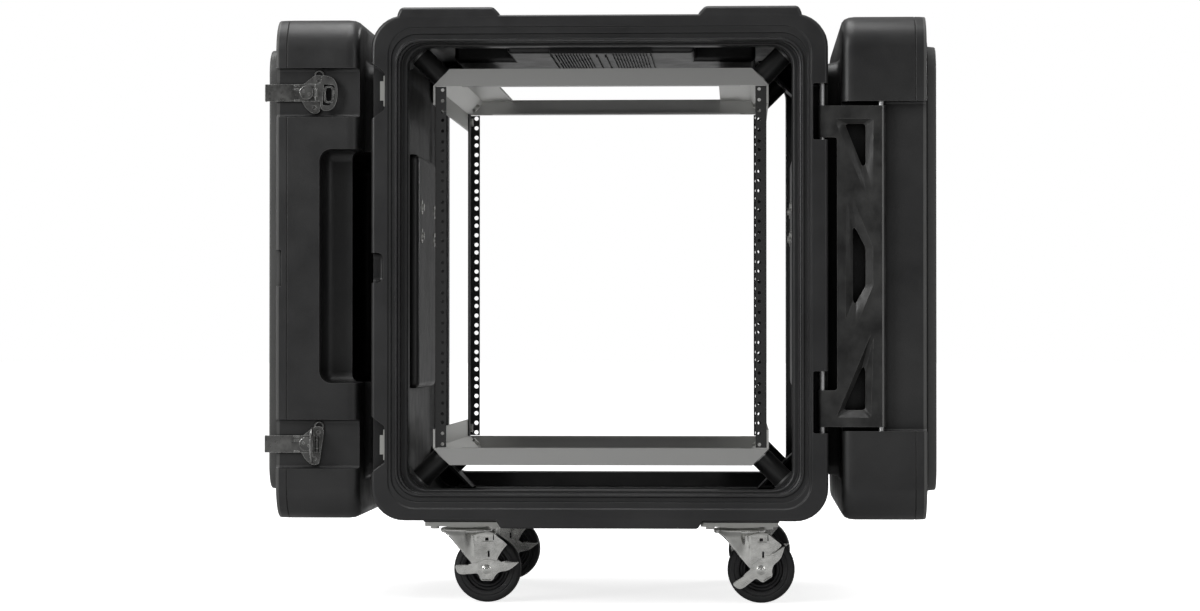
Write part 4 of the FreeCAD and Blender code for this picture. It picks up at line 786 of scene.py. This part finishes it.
def build_door(label):
    """Moulded door shell with its recesses."""
    door = loft(f"{label}_door", door_rings())
    carve(door, scoop_liner(), "UNION")
    hinge = DOOR["hinge_side"]
    free = DOOR["free_side"]
    past = DOOR["flange"] + 0.03
    past_free = (DOOR["flange"] + 0.01, free + 0.01, CASE["middle"] + 0.027)
    notch = (DOOR["flange"] - 0.008, free - 0.008, CASE["middle"] - 0.027)
    recess_bottom, recess_top = 0.258, 0.7365
    tools = scoop_spaces() + [
        soft_box(
            "hinge_recess", (DOOR["crown"] - 0.02, hinge - 0.02, recess_bottom),
            (past, hinge + 0.018, recess_top), 0.004),
        soft_box("hinge_well", (0.3545, hinge - 0.001, 0.281), (0.394, hinge + 0.0295, 0.715), 0.005),
        soft_box("flange_notch", notch, past_free, 0.002),
    ]
    for level in SIDES:
        middle = CASE["middle"] + level * KEEPER_HEIGHT
        low = (DOOR["crown"] - 0.02, free - 0.010, middle - 0.036)
        tools.append(soft_box("latch_recess", low, (past, free + 0.02, middle + 0.036), 0.006))
    carve(door, tools)
    soften_edges(door, 0.0035, 4, 40)
    place_door(door, label)
    adopt(door, f"{label}_door_shell")


def place_door(piece, label):
    """Turn a piece built for the front door half round for the rear door."""
    if label == "rear":
        piece.data.transform(Matrix.Rotation(math.pi, 4, "Z"))


for door_label in DOORS:
    build_door(door_label)


# Hinge links

# Three windows: corners of the hole, then of the slope round it, from the plate's left edge and top, in mm
LINK_WINDOWS = (
    (((33, 26), (63, 26), (63, 86), (58, 88)), ((17.5, 19), (74, 19), (74, 130), (66.5, 138))),
    (
        ((44.5, 177), (48, 177), (63, 206), (63, 261), (48, 288), (44.5, 284)),
        ((34, 126), (41, 126), (73.5, 206), (73.5, 261), (47, 325), (34, 312)),
    ),
    (((58.5, 378), (62.5, 382), (62.5, 441.5), (30.5, 441.5)), ((71, 330), (74, 334), (70, 452), (20, 452))),
)


def window_cutter(name, hole, wide, left, top, near, depth, past):
    """Tool for one window: a wide slope in the front face that narrows to the hole."""
    rings = []
    for outline, level in ((wide, near - 0.0005), (wide, near), (hole, near + depth), (hole, past)):
        radius = 0.005 if outline is hole else 0.003
        corners = [(left + across * MM, top - down * MM, radius) for across, down in outline]
        rings.append([(point[0], level, point[1]) for point in soften(corners, closed=True, steps=5)])
    return loft(name, rings)


def build_link(label):
    """Hinge plate with three bevelled windows, two tabs and a knuckle along each pin."""
    low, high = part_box("front_door_link")
    half = (high.y - low.y) / 2
    middle_y = (high.y + low.y) / 2
    slope_depth = 0.008
    plate = soft_box("plate", (low.x + half, low.y, low.z), (high.x - half, high.y, high.z), 0.0008, 2)
    knuckles = []
    for x in (low.x + half, high.x - half):
        section = circle(half, 40, (x, middle_y))
        knuckles.append(prism("knuckle", section, "z", low.z + 0.00003, high.z - 0.00003))
    bead_x = high.x - half + BEAD_OFFSET
    bead_low = (bead_x - 0.0013, low.y - 0.0011, low.z + 0.0004)
    bead_high = (bead_x + 0.0013, low.y + 0.003, high.z - 0.0004)
    knuckles.append(soft_box("bead", bead_low, bead_high, 0.0009, 3))
    carve(plate, knuckles, "UNION")
    tab_low, tab_high = 0.317, 0.684
    reach = low.x + half + 0.0215
    gap_low = (low.x - 0.02, low.y - 0.02, tab_low)
    tools = [soft_box("tab_gap", gap_low, (reach, high.y + 0.02, tab_high), 0.004)]
    for number, (hole, wide) in enumerate(LINK_WINDOWS):
        tools.append(window_cutter(
            f"window_{number}", hole, wide, low.x + half, high.z, low.y, slope_depth, high.y + 0.002))
    carve(plate, tools)
    soften_edges(plate, 0.0009, 2, 38)
    place_door(plate, label)
    plate.name = f"{label}_link"
    adopt(plate, f"{label}_door_link")


for door_label in DOORS:
    build_link(door_label)


# Latches, drawn about the rotor's axis: across towards the wing, depth out of the recess, and height.
# Outlines are across, height and corner rounding, in millimetres

LATCH_BACK = 0.045
LATCH_RECESS = 0.010
BASE_OUTLINE = (
    (-4.5, 13, 3), (3, 19, 4), (11, 25.5, 5), (22, 26, 7), (25.5, 20, 5), (24, 8, 8), (19.5, -22, 6),
    (18, -30, 7), (7, -31, 7), (-3, -21, 5), (-6, -15, 3), (-9, -11, 3), (-9, 10, 3),
)
WING_OUTLINE = (
    (14, 12, 2), (21, 12.5, 3), (22.5, 25, 4), (38, 23, 9), (46, 11, 8), (46, -12, 9), (38, -27, 9),
    (22, -27, 6), (20.5, -12.5, 3), (14, -12, 2),
)
WING_OPENING = ((26, 12, 2), (42, 10.5, 4), (42, -12, 5), (34, -20, 4), (24, -19, 2))
WING_LOOP = ((26.5, 9, 6), (40.5, 9, 6), (40.5, -16, 6), (26.5, -16, 6))
WING_EYE = ((29, 6.5, 4.5), (38, 6.5, 4.5), (38, -13.5, 4.5), (29, -13.5, 4.5))
RIVET_HOLES = ((17.5, 17.2), (11.3, -21.7))
RING_CENTRE = (18, 26)
WING_HINGE = (15, 7.4)
WING_SHEET = (11.4, 13.4)


def latch_section(outline, steps=6):
    """Outline points of a latch sheet, in metres."""
    points = soften([(a, b, radius) for a, b, radius in outline], closed=True, steps=steps)
    return [(a * MM, b * MM) for a, b in points]


def latch_sheet(name, outline, low, high):
    """A flat sheet between two depths over the recess floor, in millimetres."""
    return prism(name, latch_section(outline), "y", low * MM, high * MM)


def latch_disc(name, centre, radius, low, high, steps=40):
    """A round bar that stands out of the recess floor."""
    section = [(a * MM, b * MM) for a, b in circle(radius, steps, centre)]
    return prism(name, section, "y", low * MM, high * MM)


def latch_pin(name, radius, half_length):
    """A round bar along the wing's hinge."""
    section = [(a * MM, b * MM) for a, b in circle(radius, 24, WING_HINGE)]
    return prism(name, section, "z", -half_length * MM, half_length * MM)


def latch_box(name, low, high, radius=0.0):
    """A rounded box in millimetres about the rotor's axis."""
    return soft_box(name, [value * MM for value in low], [value * MM for value in high], radius * MM, 3)


def latch_ring(name, centre, radius, thick, level):
    """A wire ring parallel to the recess floor."""
    rings = []
    for step in range(36):
        turn = math.tau * step / 36
        ring = []
        for part_across, part_out in circle(thick, 10):
            reach = radius + part_across
            ring.append((
                (centre[0] + reach * math.cos(turn)) * MM, (level + part_out) * MM,
                (centre[1] + reach * math.sin(turn)) * MM,
            ))
        rings.append(ring)
    return loft(name, rings, closed=True)


def build_latch_base():
    """Plate with two lobes that stand proud beside the strap, rivet holes and a padlock ring."""
    floor = latch_sheet("latch_base", BASE_OUTLINE, 0.02, 2.0)
    proud = latch_sheet("proud", BASE_OUTLINE, 1.0, 4.1)
    channel = [
        latch_box("strap_channel", (-30, 2.05, -12.8), (18.6, 9, 12.8), 0.8),
        latch_disc("rotor_space", (0, 0), 12.4, 2.05, 9),
    ]
    carve(proud, channel)
    carve(floor, [proud], "UNION")
    holes = [latch_disc("rivet_hole", centre, 3.0, 1.4, 9) for centre in RIVET_HOLES]
    holes.append(latch_disc("shaft_hole", (0, 0), 4.7, -1, 9))
    carve(floor, holes)
    soften_edges(floor, 0.0006, 3, 35)
    extras = [latch_ring("padlock_ring", RING_CENTRE, 6.0, 1.3, 1.6)]
    extras += [latch_disc("rivet", centre, 2.2, 1.0, 2.3, 20) for centre in RIVET_HOLES]
    carve(floor, extras, "UNION")
    return floor


def build_latch_rotor():
    """Round head with a rounded edge and two dimples, and the lug that carries the wing."""
    profile = ((4.4, 0.6), (4.4, 5.3), (9.6, 5.3), (10.5, 5.9), (10.5, 9.2), (10.1, 10.0), (9.2, 10.4))
    head = turned("latch_rotor", profile, 48, closed=False)
    carve(head, [latch_box("neck", (4, 5.3, -5.9), (15, 8.1, 5.9), 0.3), latch_pin("lug", 2.9, 5.9)], "UNION")
    dimples = [latch_disc("dimple", centre, 1.9, 9.2, 12, 24) for centre in ((-4.2, 2.0), (3.7, -2.1))]
    dimples.append(latch_box("wing_seat", (9.0, 8.1, -11), (12.4, 12, 11)))
    carve(head, dimples)
    soften_edges(head, 0.0003, 2, 35)
    studs = [latch_disc("stud", centre, 1.0, 8.8, 10.2, 16) for centre in ((-4.8, 2.4), (3.1, -1.7))]
    carve(head, studs, "UNION")
    return head


def build_latch_hook():
    """Strap with a folded step, two ribs, a hooked tip and a slot round the rotor's shaft."""
    tip = LATCH_BACK / MM + 16 + 1
    side = [
        (11.8, 2.25, 0), (-19, 2.25, 1), (-20.5, 2.9, 1), (-tip + 2.0, 2.9, 0.8),
        (-tip + 2.0, -5.6, 0), (-tip, -5.6, 0.6), (-tip, 4.9, 1.2), (-tip + 3, 4.5, 1),
        (-22.5, 4.5, 1), (-20, 4.1, 1), (11.8, 4.1, 0),
    ]
    outline = [(a * MM, d * MM) for a, d in soften(side, closed=True, steps=4)]
    strap = prism("latch_hook", outline, "z", -0.0125, 0.0125)
    carve(strap, [
        latch_box("slot_mid", (-6, 0, -5), (0, 9, 5)), latch_disc("slot_end", (0, 0), 5.0, 0, 9),
        latch_disc("slot_far", (-6, 0), 5.0, 0, 9),
    ])
    ribs = []
    for level in (10.9, 5.2, -10.9):
        ribs.append(latch_box("rib", (-19, 3.6, level - 1.0), (-10.8, 5.1, level + 1.0), 0.7))
    carve(strap, ribs, "UNION")
    soften_edges(strap, 0.0004, 2, 35)
    return strap


def build_latch_wing():
    """Folding wing lying flat: a wide frame with rounded arms and a loop with an oblong eye."""
    low, high = WING_SHEET
    wing = latch_sheet("latch_wing", WING_OUTLINE, low, high)
    carve(wing, [latch_sheet("opening", WING_OPENING, low - 2, high + 2)])
    loop = latch_sheet("loop", WING_LOOP, low + 0.3, high + 1.1)
    bars = [
        loop,
        latch_box("loop_bar", (39, low + 0.2, -2.5), (43.5, high - 0.2, 2.5), 0.4),
        latch_box("hinge_web", (12.8, 7.4, -11.8), (14.6, high - 0.1, 11.8), 0.5),
        latch_pin("barrel", 2.7, 12),
    ]
    carve(wing, bars, "UNION")
    carve(wing, [
        latch_sheet("eye", WING_EYE, low - 2, high + 3),
        latch_box("lug_space", (11.0, 3.5, -6.2), (21.0, 10.6, 6.2)),
        latch_box("lug_window", (11.0, 10.0, -6.2), (16.6, 15, 6.2)),
    ])
    soften_edges(wing, 0.0006, 3, 35)
    return wing


def to_door(piece, level, wing_up=False):
    """Move a latch piece from the rotor's axis to its place on the front door."""
    if wing_up:
        hinge = Vector((*WING_HINGE, 0)) * MM
        quarter = Matrix.Rotation(math.radians(90), 4, "Z")
        piece.data.transform(Matrix.Translation(hinge) @ quarter @ Matrix.Translation(-hinge))
    mirror = Matrix.Diagonal((-1, 1, 1, 1))
    height = CASE["middle"] + level * KEEPER_HEIGHT
    place = (DOOR["flange"] - LATCH_BACK, DOOR["free_side"] - LATCH_RECESS, height)
    piece.data.transform(Matrix.Translation(place) @ mirror)
    piece.data.flip_normals()


def build_latches(label):
    """Both latches of a door; the lower wing stands out and the upper one lies flat."""
    bases = []
    movers = (("rotor", build_latch_rotor), ("hook", build_latch_hook), ("wing", build_latch_wing))
    for name, level in (("upper", 1), ("lower", -1)):
        base = build_latch_base()
        to_door(base, level)
        bases.append(base)
        for kind, build in movers:
            piece = build()
            to_door(piece, level, kind == "wing" and name == "lower")
            place_door(piece, label)
            piece.name = f"{label}_{name}_{kind}"
            adopt(piece, f"{label}_{name}_latch_{kind}")
    carve(bases[0], bases[1:], "UNION")
    place_door(bases[0], label)
    bases[0].name = f"{label}_bases"
    adopt(bases[0], f"{label}_latch_bases")


for door_label in DOORS:
    build_latches(door_label)


# Casters, drawn about the wheel's axle: across, along the axle, and up

SWIVEL_BACK = -0.032
LEG_NEAR = 0.0195
LEG_SHEET = 0.0028
CREASE = -0.0185
# Left and right edge of the fork's leg at each height over the axle, in millimetres
LEG_EDGES = (
    (58.5, -66, -4), (56, -66.5, 3), (53, -61, 10), (49, -56, 15), (43, -50, 23), (36.5, -45, 30.5),
    (31, -40.5, 25.5), (25, -35.5, 21), (18, -30, 17), (10, -23.5, 14.5), (2, -16, 12.5), (-6, -11.5, 10.5),
    (-11.5, -6.5, 6),
)
# Windows punched in each leg: across and height of two corners, in millimetres
FORK_WINDOWS = (((-2.4, 42.2), (2.8, 46.8)), ((9.2, 43), (10.8, 51.5)), ((1.4, 18.0), (4.4, 27.5)))
# Inner face and thickness of the brake lever's sheet, and its outline with corner rounding
LEVER_NEAR = 22.8
LEVER_SHEET = 2.4
LEVER_OUTLINE = (
    (-47, 4.5, 2.5), (-43, 7.3, 2), (-26, 7.2, 2), (-21, 9, 3), (-13.5, 9.2, 3), (-6.5, 13.6, 4),
    (7, 14.6, 4), (14, 11.6, 1), (17.3, 14, 0.6), (22, 10.6, 2), (29, 12.6, 1.5), (48, 10.4, 0.8),
    (43, 5.8, 5), (33, -1.8, 7), (18, -3.8, 6), (12, -10.5, 2), (10.6, -14.3, 1), (7.2, -17, 1),
    (-7.2, -17, 1), (-9.6, -14, 1), (-11, -9.6, 2), (-13.6, -5.9, 3), (-26, -7, 3), (-36.5, -8, 6),
    (-43.5, -6, 6),
)


def caster_frames():
    """Middle of each caster's wheel, read from the CAD tyres."""
    frames = {}
    for name in CASTER_NAMES:
        low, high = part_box(f"{name}_caster_tyre")
        frames[name] = (low + high) / 2
    return frames


def both_sides(side):
    """Close half a wheel section, drawn on one side of the wheel's middle, into the whole section."""
    profile = side + [(radius, -along, soft) for radius, along, soft in reversed(side)]
    return [tuple(point) for point in soften(profile, closed=True, steps=4)]


def build_tyre():
    """Solid rubber tread with rounded shoulders and a ring round each side."""
    side = [
        (35.0, 15.2, 0), (38.5, 15.6, 0.6), (39.6, 14.4, 0.5), (40.8, 15.8, 0.6), (46.0, 15.3, 3),
        (49.4, 11.6, 4), (50.0, 4.0, 3),
    ]
    return turned("tyre", both_sides(side), 96)


def build_hub():
    """Hub with a deep groove, a raised ring, a web and a boss round the axle."""
    side = [
        (4.2, 18.3, 0), (10.8, 18.3, 1.2), (12.2, 9.0, 2), (20.5, 8.2, 2), (22.5, 12.4, 1.6),
        (26.2, 13.4, 1.4), (27.4, 9.2, 1.2), (31.4, 9.2, 1.2), (32.6, 14.8, 1.2), (34.9, 15.0, 0.4),
    ]
    return turned("hub", both_sides(side), 72)


def crown_profile():
    """Section of the fork's crown about the swivel axis: radius and height over the axle."""
    return soften([
        (10.5, 61.4, 0), (14, 61.4, 1.5), (17, 59.6, 2), (30, 59.6, 2), (34, 61.2, 2), (37.6, 60.4, 2.5),
        (38.9, 57, 2), (37, 53.4, 3), (33, 54.8, 2), (28, 50.4, 3), (10.5, 50.4, 0),
    ], closed=True, steps=4)


def rising(value, start, run):
    """0 up to start, rising evenly to 1 at start + run."""
    return min(max((value - start) / run, 0), 1)


def leg_depth(across, up):
    """How far out the pressed leg stands: flat at the axle, flared to the crown left of the crease."""
    flat = LEG_NEAR / MM + 1.2
    crease = CREASE / MM
    reach = max(37.0 ** 2 - (across - SWIVEL_BACK / MM) ** 2, 0) ** 0.5
    left = rising(crease - across, 0, 15.0)
    left = left * left * (3 - 2 * left)
    flare = max(reach - flat, 0) * left * rising(up, 8, 46.0) ** 1.3
    ridge = 2.6 * math.exp(-((across - crease) / 2.0) ** 2) * rising(up, 11, 21.0)
    shoulder = 3.2 * rising(up, 50, 7.0) ** 2
    hem = 1.3 * math.exp(-((across - edge_at(up)[0]) / 1.6) ** 2) * rising(up, 13, 8.0)
    return flat + flare + ridge + shoulder + hem


def edge_at(up):
    """Left and right edge of the leg at a height."""
    for (top, *above), (bottom, *below) in zip(LEG_EDGES, LEG_EDGES[1:]):
        if bottom <= up <= top:
            part = (top - up) / (top - bottom)
            return [a + (b - a) * part for a, b in zip(above, below)]
    return list(LEG_EDGES[-1][1:])


def build_leg(side):
    """One pressed leg as a curved sheet of even thickness."""
    rows, columns = 44, 52
    sheets = []
    for thick in (0, LEG_SHEET / MM):
        sheet = []
        for row in range(rows + 1):
            up = LEG_EDGES[0][0] + (LEG_EDGES[-1][0] - LEG_EDGES[0][0]) * row / rows
            left, right = edge_at(up)
            for column in range(columns + 1):
                across = left + (right - left) * column / columns
                sheet.append((across * MM, side * (leg_depth(across, up) - 1.2 + thick) * MM, up * MM))
        sheets.append(sheet)
    wide = columns + 1
    size = wide * (rows + 1)
    faces = []
    for row in range(rows):
        for column in range(columns):
            here = row * wide + column
            quad = (here, here + 1, here + 1 + wide, here + wide)
            faces.append(quad)
            faces.append(tuple(index + size for index in reversed(quad)))
    rim = list(range(columns))
    rim += [row * wide + columns for row in range(rows)]
    rim += [rows * wide + column for column in range(columns, 0, -1)]
    rim += [row * wide for row in range(rows, 0, -1)]
    for here, following in zip(rim, rim[1:] + rim[:1]):
        faces.append((here, here + size, following + size, following))
    return new_piece("leg", sheets[0] + sheets[1], faces, 60)


def build_fork():
    """Pressed fork: dished crown, creased legs, and the punched window with its lip."""
    rings = []
    for radius, up in crown_profile():
        rings.append([(SWIVEL_BACK + a * MM, b * MM, up * MM) for a, b in circle(radius, 72)])
    fork = loft("fork", rings, closed=True)
    for side in SIDES:
        leg = build_leg(side)
        near, far = sorted((side * 0.010, side * 0.040))
        windows = []
        for low, high in FORK_WINDOWS:
            window_low = (low[0] * MM, near, low[1] * MM)
            windows.append(soft_box("window", window_low, (high[0] * MM, far, high[1] * MM), 0.0004, 2))
        carve(leg, windows)
        near, far = sorted((side * (LEG_NEAR + 0.0022), side * (LEG_NEAR + 0.0044)))
        carve(leg, [soft_box("lip", (-0.0055, near, 0.0402), (0.0092, far, 0.0416), 0.0006, 3)], "UNION")
        carve(fork, [leg], "UNION")
    bore = spin_bar("bore", 4.02, -40, 40)
    carve(fork, [bore])
    shade(fork, 45)
    return fork


def spin_bar(name, radius, near, far, steps=40):
    """A round bar along the axle, in millimetres."""
    return turned(name, ((radius, near), (radius, far)), steps, closed=False)


def build_axle():
    """Axle with a stepped round head before the lever and a six-sided nut on the far leg."""
    profile = (
        (0.5, -28.8), (2.6, -28.8), (3.6, -28.3), (3.9, -27.6), (5.4, -27.4), (6.6, -26.8), (6.9, -25.9),
        (6.9, -25.7), (3.95, -25.7), (3.95, 22.4),
    )
    axle = turned("axle", profile, 48, closed=False)
    nut = spin_bar("nut", 7.0, 22.6, 28.2, 6)
    soften_edges(nut, 0.0006, 2, 25)
    carve(axle, [nut, spin_bar("stub", 3.95, 22, 29.5, 32)], "UNION")
    shade(axle, 35)
    return axle


def build_lever():
    """Winged brake lever: domed middle, rounded left wing, swept right wing with folded edges."""
    section = [(a * MM, b * MM) for a, b in soften(LEVER_OUTLINE, closed=True, steps=5)]
    faces = (LEVER_NEAR, LEVER_NEAR + LEVER_SHEET)
    lever = loft("lever", [[(a, -level * MM, b) for a, b in section] for level in faces])
    back = -(LEVER_NEAR + 1) * MM
    folds = [
        soft_box("fold", (0.027, -0.0318, 0.0098), (0.0470, back, 0.0116), 0.0006, 3),
        soft_box("fold", (-0.0445, -0.0314, 0.0054), (-0.0265, back, 0.0072), 0.0006, 3),
        soft_box("tab", (-0.0068, -0.0300, -0.0168), (0.0068, back, -0.0149), 0.0006, 3),
    ]
    carve(lever, folds, "UNION")
    carve(lever, [spin_bar("lever_bore", 4.1, -40, -20)])
    soften_edges(lever, 0.0005, 2, 35)
    return lever


def build_caster(name, centre):
    """All pieces of one caster."""
    lever = build_lever()
    tilt = brake_tilt(name)
    lever.data.transform(Matrix.Rotation(-tilt, 4, "Y"))
    pieces = {
        "caster_tyre": build_tyre(), "caster_hub": build_hub(), "caster_fork": build_fork(),
        "caster_axle": build_axle(), "brake_lever": lever,
    }
    for kind, piece in pieces.items():
        piece.data.transform(Matrix.Translation(centre))
        piece.name = f"{name}_{kind}_look"
        adopt(piece, f"{name}_{kind}")


def brake_tilt(name):
    """Tilt of a brake lever as modelled: only the front right one is pressed down."""
    return math.radians(33) if name == "front_right" else 0.0


for caster_name, axle_centre in caster_frames().items():
    build_caster(caster_name, axle_centre)


# Softened edges and finishes meant for the carried CAD nodes. Known fault: nothing calls
# dress_carried_nodes, so those nodes show the flat materials of the pack

SOFT_WIDTHS = {
    "cross_beams": 0.0005,
    "corner_extrusions": 0.0005,
    "front_rack_rails": 0.0003,
    "rear_rack_rails": 0.0003,
    "corner_brackets": 0.0006,
    "caster_plates": 0.0006,
}


def dress_carried_nodes():
    """Finish every CAD node that no new piece stands for. Not called yet."""
    shown = [node for node in NODES.values() if not node.hide_render]
    for node in shown:
        if node.name in SOFT_WIDTHS:
            refined(node.name, SOFT_WIDTHS[node.name])
        else:
            dress(node, NODE_SLOTS[node.name])


# Studio

def build_world():
    """White to the camera; for lighting, a studio dome that is bright above and dim at eye level."""
    world = bpy.data.worlds.new("studio")
    bpy.context.scene.world = world
    world.use_nodes = True
    tree = world.node_tree
    tree.nodes.clear()
    coords = tree.nodes.new("ShaderNodeTexCoord")
    parts = tree.nodes.new("ShaderNodeSeparateXYZ")
    link_nodes(tree, coords, "Generated", parts, "Vector")
    ramp = tree.nodes.new("ShaderNodeValToRGB")
    stops = ramp.color_ramp.elements
    stops[0].position, stops[0].color = 0.0, (0.07, 0.07, 0.07, 1)
    stops[1].position, stops[1].color = 1.0, (0.7, 0.7, 0.7, 1)
    middle = stops.new(0.3)
    middle.color = (0.19, 0.19, 0.19, 1)
    link_nodes(tree, parts, "Z", ramp, "Fac")
    dome = tree.nodes.new("ShaderNodeBackground")
    link_nodes(tree, ramp, "Color", dome, "Color")
    white = tree.nodes.new("ShaderNodeBackground")
    white.inputs["Color"].default_value = (1, 1, 1, 1)
    rays = tree.nodes.new("ShaderNodeLightPath")
    choice = tree.nodes.new("ShaderNodeMixShader")
    tree.links.new(rays.outputs["Is Camera Ray"], choice.inputs[0])
    tree.links.new(dome.outputs[0], choice.inputs[1])
    tree.links.new(white.outputs[0], choice.inputs[2])
    output = tree.nodes.new("ShaderNodeOutputWorld")
    tree.links.new(choice.outputs[0], output.inputs["Surface"])


def build_floor():
    """A pale floor that blends into the white background."""
    bpy.ops.mesh.primitive_plane_add(size=60, location=(0, 20, 0))
    floor = bpy.context.object
    floor.name = "floor"
    pale = bpy.data.materials.new("pale_floor")
    pale.use_nodes = True
    shader = pale.node_tree.nodes["Principled BSDF"]
    shader.inputs["Roughness"].default_value = 0.75
    shader.inputs["Specular IOR Level"].default_value = 0.2
    shader.inputs["Emission Color"].default_value = (1, 1, 1, 1)
    rays = pale.node_tree.nodes.new("ShaderNodeLightPath")
    glow = spread(pale.node_tree, rays, 0.05, 0.8, 0, 1, "Is Camera Ray")
    link_nodes(pale.node_tree, glow, "Result", shader, "Emission Strength")
    dim, bright = (0.48, 0.48, 0.48), (0.9, 0.9, 0.9)
    tone = mix_colours(pale.node_tree, rays, dim, bright, "Is Camera Ray")
    pale.node_tree.links.new(colour_output(tone), shader.inputs["Base Color"])
    floor.data.materials.append(pale)


def soft_light(name, place, target, size, power):
    """A soft box that looks at its target."""
    lamp = bpy.data.lights.new(name, "AREA")
    lamp.shape = "RECTANGLE"
    lamp.size, lamp.size_y = size
    lamp.energy = power
    holder = new_object(name, lamp)
    holder.location = place
    holder.rotation_euler = (Vector(target) - Vector(place)).to_track_quat("-Z", "Y").to_euler()


# Name, place, target, size and power of each light
LIGHTS = (
    ("key", (-3.2, -3.2, 2.2), (0, -0.3, 0.5), (1.4, 2.4), 95),
    ("fill", (2.6, -3.6, 1.6), (0, -0.3, 0.5), (0.8, 2.0), 12),
    ("top", (-0.4, -0.2, 3.2), (0, 0, 0.8), (2.4, 1.6), 45),
    ("back_right", (3.0, 3.2, 2.0), (0, 0.3, 0.5), (1.4, 2.4), 60),
    ("back_left", (-2.6, 3.6, 1.4), (0, 0.3, 0.5), (0.8, 2.0), 25),
)


def build_studio():
    """Plain pale floor and soft light, strongest from the front left."""
    bpy.context.scene.view_settings.view_transform = "Standard"
    build_world()
    build_floor()
    for light in LIGHTS:
        soft_light(*light)


def build_camera():
    """The camera stands a little right of the middle, at knee height, and looks almost straight on."""
    lens = bpy.data.cameras.new("camera")
    lens.lens = 93.6
    lens.sensor_width = 36
    camera = new_object("camera", lens)
    camera.location = (0.2045, -4.868, 0.3886)
    looking = Vector((-0.0449, 1, 0.0114))
    camera.rotation_euler = looking.to_track_quat("-Z", "Y").to_euler()
    bpy.context.scene.camera = camera


build_studio()
build_camera()
